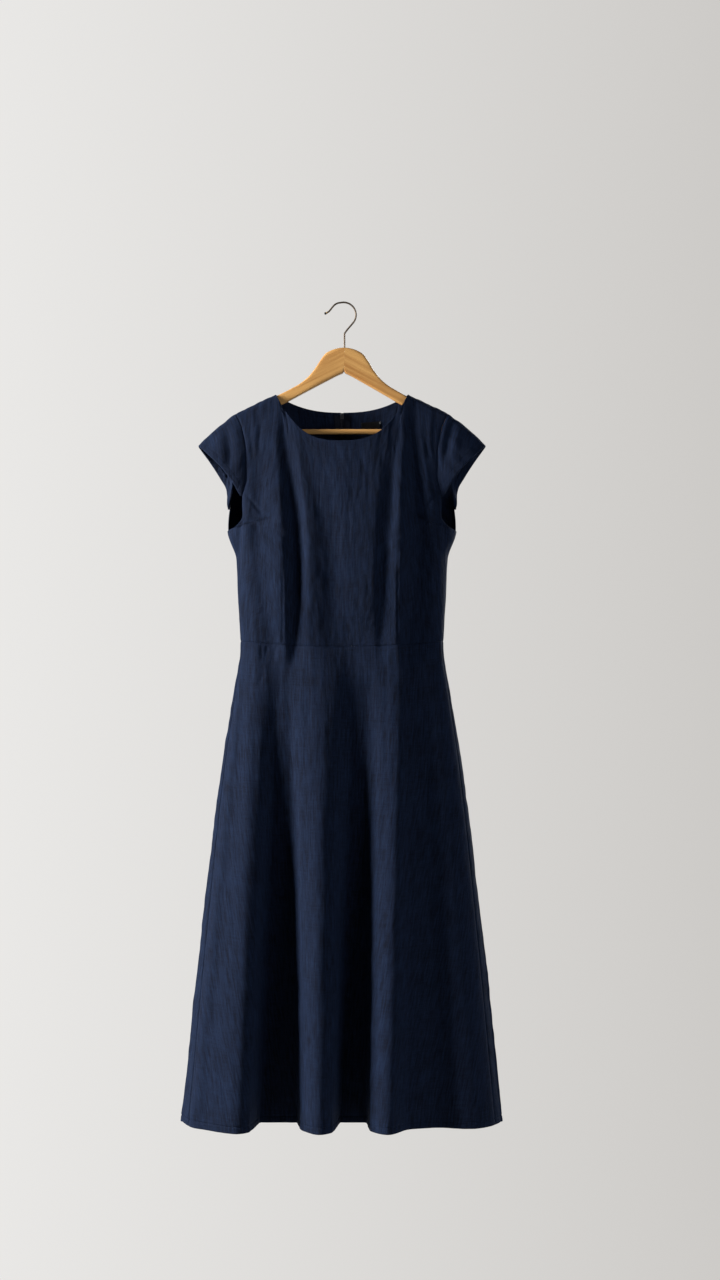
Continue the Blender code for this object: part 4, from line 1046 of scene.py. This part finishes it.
def tube_points(path, radii, sides):
    """Rings round a path that lies in an upright plane facing the front."""
    forward = unit(np.gradient(path, axis=0))
    side = unit(np.cross(forward, np.array([0.0, 1.0, 0.0])))
    offset = circles(side, np.cross(side, forward), sides)
    return path[:, None] + offset * np.asarray(radii, float)[:, None, None]


def many(name, rings, cut=None):
    """One mesh of many small closed tubes. rings holds tube, ring, point round it and x, y, z."""
    tubes, stacks, around = rings.shape[:3]
    one = ring_faces(stacks, around)
    faces = [[n + i * stacks * around for n in face] for i in range(tubes) for face in one]
    return new_piece(name, rings, faces, cut)


def row_at(points, normals, distance):
    """The line of a panel that lies that far above its open edge, from point to point."""
    away = arc(points, 0)
    away = away[-1:] - away
    line, facing = np.empty((points.shape[1], 3)), np.empty((points.shape[1], 3))
    for i in range(points.shape[1]):
        order = slice(None, None, -1)
        for k in range(3):
            line[i, k] = np.interp(distance, away[order, i], points[order, i, k])
            facing[i, k] = np.interp(distance, away[order, i], normals[order, i, k])
    return line, unit(facing)


Stitch = namedtuple("Stitch", "pitch length radius")
HEM_STITCH = Stitch(0.0031, 0.0022, 0.00022)
LABEL_STITCH = Stitch(0.0019, 0.0013, 0.00013)
# Along one stitch: how far along it each ring is, how high it rises and how thick it is.
STITCH_SHARES = np.array([0.0, 0.12, 0.5, 0.88, 1.0])
STITCH_RISE = np.array([-0.2, 0.45, 0.8, 0.45, -0.2])
STITCH_SWELL = np.array([0.35, 0.95, 1.0, 0.95, 0.35])
STITCH_SIDES = 6


def stitches(name, line, facing, stitch, slot):
    """Stitches along a line on a panel, each one a small rounded thread."""
    along = arc(line, 0)
    count = int((along[-1] - 0.004) / stitch.pitch)
    start = 0.002 + stitch.pitch * np.arange(count)
    place = start[:, None] + STITCH_SHARES * stitch.length
    middle = np.stack([np.interp(place, along, line[:, k]) for k in range(3)], -1)
    up = unit(np.stack([np.interp(place, along, facing[:, k]) for k in range(3)], -1))
    middle = middle + up * (STITCH_RISE * stitch.radius)[None, :, None]
    side = unit(np.cross(unit(np.gradient(middle, axis=1)), up))
    size = stitch.radius * STITCH_SWELL[None, :, None, None]
    rings = middle[:, :, None] + circles(side, up, STITCH_SIDES) * size
    cut = np.zeros(rings.shape)
    cut[..., 0] = place[:, :, None]
    cut[..., 1] = np.arange(STITCH_SIDES) * 0.0002
    return finish_piece(many(name, rings, cut), THREAD, "garment", slot)


# ---------------------------------------------------------------- hanger
def tilted(points):
    """The wood hangs turned by a small angle about the foot of the hook."""
    turn, foot = -HANGER_TILT, -CROWN_DOWN
    x, z = points[..., 0], points[..., 2] - foot
    turned = points.copy()
    turned[..., 0] = x * math.cos(turn) - z * math.sin(turn)
    turned[..., 2] = foot + x * math.sin(turn) + z * math.cos(turn)
    return turned


ARM_SLOPE = math.radians(27)  # the grain runs along each arm, so it meets in the middle
WOOD_SIDES, BAR_SIDES, WIRE_SIDES = 52, 48, 24
SQUARENESS = 5.5  # the power of the wood's rounded-square section
JOINT_STEPS = (0.0, 0.00002, 0.0006, 0.0013, 0.0026, 0.0042)  # close together at the mitre
BAR_END_STEPS = (0.0, 0.0004, 0.0012)
BAR_END_ROUND = 0.0025


def squared(wave):
    return np.sign(wave) * np.abs(wave) ** (2 / SQUARENESS)


def wood_arm(sign, look):
    """One half of the hanger's wood, cut square where it meets the other."""
    out, top = np.array(column(ARMS, "out")), np.array(column(ARMS, "top"))
    end = out[-1]
    x = np.concatenate([JOINT_STEPS, np.linspace(0.006, end, 96)])
    both = np.concatenate([-out[:0:-1], out])
    high = -spline(x, both, np.concatenate([top[:0:-1], top]))
    notch = 0.0022 * np.exp(-((x / 0.0011) ** 2))
    low = -spline(x, out, np.array(column(ARMS, "bottom"))) + notch
    thick = spline(x, out, np.array(column(ARMS, "thick")))
    past = np.clip((x - end + 0.004) / 0.0041, 0.0, 1.0)
    size = np.sqrt(np.clip(1.0 - past**2, 0.02, 1.0))  # the arm's end is rounded
    turn = turns(WOOD_SIDES)
    rings = np.zeros((len(x), WOOD_SIDES, 3))
    rings[..., 0] = sign * x[:, None]
    rings[..., 1] = (thick / 2 * size)[:, None] * squared(np.cos(turn))
    rings[..., 2] = (high + low)[:, None] / 2 + ((high - low) / 2 * size)[:, None] * squared(
        np.sin(turn)
    )
    along = x[:, None] * math.cos(ARM_SLOPE) - rings[..., 2] * math.sin(ARM_SLOPE)
    over = x[:, None] * math.sin(ARM_SLOPE) + rings[..., 2] * math.cos(ARM_SLOPE)
    cut = np.stack([along + 3.0 * sign, over + 0.4 * sign, rings[..., 1] * 0.7], -1)
    name = "wood_arm_" + ("right" if sign > 0 else "left")
    piece = new_piece(name, tilted(rings), ring_faces(len(x), WOOD_SIDES), cut)
    return finish_piece(piece, look, "garment", "wood", "hanger_arms")


def wood_bar(look):
    end, steps = BAR_HALF, np.array(BAR_END_STEPS)
    between_rounds = np.linspace(-end + BAR_END_ROUND, end - BAR_END_ROUND, 60)
    x = np.concatenate([-end + steps, between_rounds, (end - steps)[::-1]])
    share = np.clip((end - np.abs(x)) / BAR_END_ROUND, 0.0, 1.0)
    radii = BAR_RADIUS * np.sqrt(np.clip(1.0 - (1.0 - share) ** 2, 0.15, 1.0))
    path = np.stack([x, np.zeros(len(x)), np.full(len(x), -BAR_DOWN)], -1)
    rings = tube_points(path, radii, BAR_SIDES)
    cut = rings + np.array([7.0, 1.0, 0.0])
    piece = new_piece("wood_bar_turned", rings, ring_faces(len(x), BAR_SIDES), cut)
    return finish_piece(piece, look, "garment", "wood", "hanger_bar")


def hook_line():
    """Places along the middle of the wire, from just inside the wood to its end."""
    turn = np.radians(np.linspace(-42, 100, 22))
    bend = HOOK_CENTRE + HOOK_RADIUS * np.stack([np.cos(turn), np.sin(turn)], -1)
    foot, kink = -CROWN_DOWN, -KINK_DOWN
    shank = [
        (0.0, foot - 0.006),
        (0.0, kink - 0.012),
        (0.0, kink - 0.003),
        (0.0001, kink - 0.0004),
        (0.0009, kink + 0.0009),
    ]
    end = [(p.x, -p.down) for p in HOOK_TIP]
    flat = np.concatenate([shank, bend, end])
    along = arc(flat, 0)
    fine = np.linspace(0.0, along[-1], 170)
    x, z = spline(fine, along, flat[:, 0]), spline(fine, along, flat[:, 1])
    return np.stack([x, np.zeros(len(x)), z], -1)


def tube(name, path, radii, sides, look, slot, *replaced):
    piece = new_piece(name, tube_points(path, radii, sides), ring_faces(len(path), sides))
    return finish_piece(piece, look, "garment", slot, *replaced)


def wire_hook(steel, tip, gold):
    path = hook_line()
    radii = np.full(len(path), WIRE_RADIUS)
    tube("wire_hook", path, radii, WIRE_SIDES, steel, "steel", "hanger_hook")
    end, way = path[-1], unit(path[-1] - path[-2])
    lean = np.linspace(0.02, math.pi - 0.02, 21)
    ball = end + way * (TIP_RADIUS + SEAM_GAP) - way * (TIP_RADIUS * np.cos(lean))[:, None]
    tube("hook_ball", ball, TIP_RADIUS * np.sin(lean), 28, tip, "tip", "hanger_hook_tip")
    collar = end + way * np.linspace(-0.0009, 0.0007, 7)[:, None]
    swell = WIRE_RADIUS * np.array([1.01, 1.12, 1.18, 1.18, 1.16, 1.08, 0.9])
    tube("hook_collar", collar, swell, WIRE_SIDES, gold, "steel")


# ---------------------------------------------------------------- zip and label
def back_centre(down):
    return body_point(np.full(np.shape(down), -math.pi / 2), down)


COIL_PITCH = 0.0012
# One loop of the coil: how far past the middle, how far in and how thick, from its root.
LOOP_REACH = np.array([-0.0027, -0.0024, -0.0004, 0.0008, 0.0011])
LOOP_BEND = np.array([-0.0003, 0.00015, 0.00045, 0.00035, 0.0])
LOOP_RADII = np.array([0.00016, 0.00034, 0.00036, 0.00040, 0.00018])
LOOP_SIDES = 6


def zip_coil(look):
    """Two rows of small loops that mesh, inside the dress behind the back's middle."""
    top = BACK_NECK_DOWN + SLIDER_TOP_SET_BACK + SLIDER_LENGTH + 0.001
    down = np.arange(top, ZIP_END_DOWN - 0.007, COIL_PITCH)
    depth = CLOTH + TAPE_THICK + 2 * SEAM_GAP + CHAIN_THICK / 2
    bend, radii, turn = LOOP_BEND[:, None], LOOP_RADII[:, None], turns(LOOP_SIDES)
    rows = []
    for sign, shift in ((1.0, 0.0), (-1.0, 0.5)):
        place = back_centre(down + shift * COIL_PITCH)[:, None, None]
        rings = np.zeros((len(down), len(LOOP_REACH), LOOP_SIDES, 3))
        rings[..., 0] = CENTRE_X + sign * LOOP_REACH[:, None]
        rings[..., 1] = place[..., 1] - depth - bend + radii * np.cos(turn)
        rings[..., 2] = place[..., 2] + radii * np.sin(turn)
        rows.append(rings)
    piece = many("zip_coil_loops", np.concatenate(rows))
    return finish_piece(piece, look, "garment", "zip_tape", "zip_chain")


def rounded_copy(node_name, name, look, body, slot, width):
    """The CAD piece with its edges rounded over."""
    flat_enough, sharp_enough = math.radians(2), math.radians(25)

    def soften(made):
        bmesh.ops.remove_doubles(made, verts=made.verts, dist=1e-6)
        bmesh.ops.dissolve_limit(
            made, angle_limit=flat_enough, verts=made.verts, edges=made.edges
        )
        inside = [e for e in made.edges if len(e.link_faces) == 2]
        sharp = [e for e in inside if e.calc_face_angle() > sharp_enough]
        bmesh.ops.bevel(
            made, geom=sharp, offset=width, segments=3, profile=0.6, affect="EDGES",
            clamp_overlap=True,
        )
        bmesh.ops.triangulate(made, faces=[f for f in made.faces if len(f.verts) > 4])

    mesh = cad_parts[node_name].data.copy()
    edit_mesh(mesh, soften)
    return finish_piece(add_object(name, mesh), look, body, slot, node_name)


def soft_label(look):
    """The label, its two rows of stitches and the loose thread at its corner."""
    out = np.linspace(-LABEL_WIDTH / 2, LABEL_WIDTH / 2, 73)[None, :]
    below = np.linspace(-LABEL_HEIGHT / 2, LABEL_HEIGHT / 2, 25)[:, None]
    across = LABEL_ACROSS + out * math.cos(LABEL_TILT) + below * math.sin(LABEL_TILT)
    down = LABEL_DOWN - out * math.sin(LABEL_TILT) + below * math.cos(LABEL_TILT)
    angle = angle_at(across, down, "back")
    inwards = -body_normal(angle, down)
    lift = 0.0003 * np.cos(out / LABEL_WIDTH * 2 * math.pi) * (below / LABEL_HEIGHT + 0.5)
    lift = np.maximum(lift + 0.00008 * waves(5, out, below, 0.006, 0.008), -0.0001)
    off = CLOTH + 2 * SEAM_GAP + lift + LABEL_THICK
    outer = body_point(angle, down) + inwards * off[..., None]
    cut = np.stack(np.broadcast_arrays(out, below), -1)
    piece = shell("label", outer, inwards, ("top", "bottom", "first", "last"), LABEL_THICK, cut)
    finish_piece(piece, look, "garment", "label", "neck_label")
    for side, place in (("left", 2), ("right", -3)):
        line, facing = outer[2:-2, place], inwards[2:-2, place]
        stitches("label_stitches_" + side, line, facing, LABEL_STITCH, "label")
    turn = np.linspace(0.0, 1.75 * math.pi, 26)
    swing = [0.0011 * np.sin(turn), 0.0006 * np.sin(turn / 2), 0.0018 * np.cos(turn)]
    corner = outer[3, -1] + inwards[3, -1] * 0.0008
    loop = corner + np.stack([swing[0] + 0.0006, swing[1] - 0.0006, swing[2] - 0.0010], -1)
    tube("label_thread_loop", loop, np.full(len(turn), 0.00019), 8, LOOSE_THREAD, "label")


def build_small_parts():
    wood = wood_material("honey wood", (0.365, 0.160, 0.042), (0.600, 0.330, 0.108))
    steel = metal_material("old nickel", (0.125, 0.098, 0.074), 0.58)
    gold = metal_material("gold bit", (0.62, 0.40, 0.14), 0.38)
    tip = plain_weave_material("dark cap", (0.010, 0.009, 0.008), 0.45, 0.0012)
    tape = plain_weave_material("zip tape weave", (0.0018, 0.0040, 0.0120), 0.80, 0.0006)
    coil = plain_weave_material("zip coil nylon", (0.0030, 0.0045, 0.0110), 0.50, 0.0009)
    gunmetal = metal_material("dark zip metal", (0.075, 0.075, 0.085), 0.42)
    satin = plain_weave_material("black satin", (0.0030, 0.0030, 0.0035), 0.50, 0.0005)
    for sign in (-1, 1):
        wood_arm(sign, wood)
    wood_bar(wood)
    wire_hook(steel, tip, gold)
    for side in ("left", "right"):
        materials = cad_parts["zip_tape_" + side].data.materials
        materials.clear()
        materials.append(tape)
    zip_coil(coil)
    rounded_copy("zip_slider", "slider", gunmetal, "garment", "zip_metal", 0.00025)
    rounded_copy("zip_pull", "pull_tab", gunmetal, "pull", "zip_metal", 0.00015)
    soft_label(satin)


# ---------------------------------------------------------------- the cloth
THREAD = plain_weave_material("navy thread", (0.0050, 0.0110, 0.0330), 0.70, 0.0007)
LOOSE_THREAD = plain_weave_material("pale thread", (0.30, 0.31, 0.33), 0.75, 0.0004)
NAVY_CLOTH = cloth_material("navy linen", (0.0009, 0.0028, 0.0104), (0.0056, 0.0132, 0.0375))


# Which edges of a panel are sewn, which are open, and which one has a turned hem.
BODICE_EDGES = (("bottom", "first", "last"), ("top",), None)
SKIRT_EDGES = (("top", "first", "last"), ("bottom",), "bottom")
SLEEVE_EDGES = (("top",), ("bottom",), "bottom")


def build_cloth():
    plan = (
        ("bodice_front", 11, bodice_grid("front"), BODICE_EDGES),
        ("bodice_back_right", 21, bodice_grid("back", "right"), BODICE_EDGES),
        ("bodice_back_left", 31, bodice_grid("back", "left"), BODICE_EDGES),
        ("skirt_front", 41, skirt_grid("front"), SKIRT_EDGES),
        ("skirt_back_right", 51, skirt_grid("back", "right"), SKIRT_EDGES),
        ("skirt_back_left", 61, skirt_grid("back", "left"), SKIRT_EDGES),
        ("sleeve_right", 71, sleeve_grid(True), SLEEVE_EDGES),
        ("sleeve_left", 81, sleeve_grid(False), SLEEVE_EDGES),
    )
    for name, seed, (outer, normals), edges in plan:
        piece, moved = finished(name, seed, outer, normals, *edges)
        finish_piece(piece, NAVY_CLOTH, "garment", "cloth", name)
        if edges[2]:
            line, facing = row_at(moved, normals, HEM_TURN)
            stitches(name + "_hem_stitches", line, facing, HEM_STITCH, "cloth")


# ---------------------------------------------------------------- stage
def build_stage():
    """A pale floor well below the hem, which is left out of the exported model."""
    half, low = 0.85, -1.95
    corners = [(-half, -half, low), (half, -half, low), (half, half, low), (-half, half, low)]
    mesh = bpy.data.meshes.new("floor")
    mesh.from_pydata(corners, [], [(0, 1, 2, 3)])
    look, _, shader = new_material("pale floor", 0.9)
    set_inputs(shader, {"Base Color": (0.42, 0.41, 0.40, 1.0)})
    mesh.materials.append(look)
    add_object("floor", mesh)


def area_light(name, place, aim, size, power, colour, tall=None):
    data = bpy.data.lights.new(name, "AREA")
    data.energy, data.size, data.color = power, size, colour
    data.shape, data.size_y = "RECTANGLE", tall or size
    lamp = add_object(name, data)
    lamp.location = place
    lamp.rotation_euler = (Vector(aim) - Vector(place)).to_track_quat("-Z", "Y").to_euler()


def build_light():
    """Daylight from a window on the left, weak fills, and a pale wall that only the camera sees,
    with the window's light painted on it: lighter on the left, darker to the right.
    """
    daylight = (1.0, 0.985, 0.96)
    area_light("window", (-3.40, -0.86, 0.25), (0.0, 0.0, -0.60), 0.9, 425.0, daylight, 2.4)
    area_light("side fill", (2.7, -1.7, -0.4), (0.0, 0.0, -0.8), 1.6, 42.0, (0.94, 0.97, 1.0))
    area_light("back fill", (1.8, 2.6, 0.5), (0.0, 0.0, -0.6), 2.0, 90.0, (0.95, 0.97, 1.0))
    world = bpy.data.worlds.new("room")
    bpy.context.scene.world = world
    world.use_nodes = True
    tree = world.node_tree
    background = tree.nodes["Background"]
    place = node(tree, "ShaderNodeTexCoord").outputs["Generated"]
    separate = tree.nodes.new("ShaderNodeSeparateXYZ")
    tree.links.new(place, separate.inputs[0])
    across = maths(tree, "MULTIPLY_ADD", separate.outputs[0], 1.0, 0.5)
    # the wall as the camera sees it: painted window light, lighter on the left and darker to the
    # right
    painted_lit_wall = between(tree, across, (0.30, (0.825, 0.815, 0.80)), (0.70, (0.60, 0.585, 0.565)))
    sideways = between(tree, across, (0.1, (0.035, 0.036, 0.040)), (0.95, (0.055, 0.057, 0.062)))
    toward = separate.outputs[1]
    behind = between(tree, toward, (0.15, (0.0,) * 3), (0.95, (0.55, 0.56, 0.59)))
    dim = tree.nodes.new("ShaderNodeVectorMath")
    dim.operation = "ADD"
    tree.links.new(sideways, dim.inputs[0])
    tree.links.new(behind, dim.inputs[1])
    rays = node(tree, "ShaderNodeLightPath").outputs["Is Camera Ray"]
    mix = tree.nodes.new("ShaderNodeMix")
    mix.data_type = "RGBA"
    tree.links.new(rays, mix.inputs[0])
    tree.links.new(dim.outputs[0], mix.inputs[6])
    tree.links.new(painted_lit_wall, mix.inputs[7])
    tree.links.new(mix.outputs[2], background.inputs["Color"])


def build_camera():
    view_x, view_z, tall, distance = 0.0248, -0.5388, 2.048, 3.0
    data = bpy.data.cameras.new("camera")
    data.sensor_fit, data.sensor_height = "VERTICAL", 36.0
    data.lens = data.sensor_height * distance / tall
    camera = add_object("camera", data)
    camera.location = (view_x, -distance, view_z)
    camera.rotation_euler = (math.pi / 2, 0.0, 0.0)
    bpy.context.scene.camera = camera


build_cloth()
build_small_parts()
build_stage()
build_light()
build_camera()
bpy.context.scene.view_settings.view_transform = "Standard"
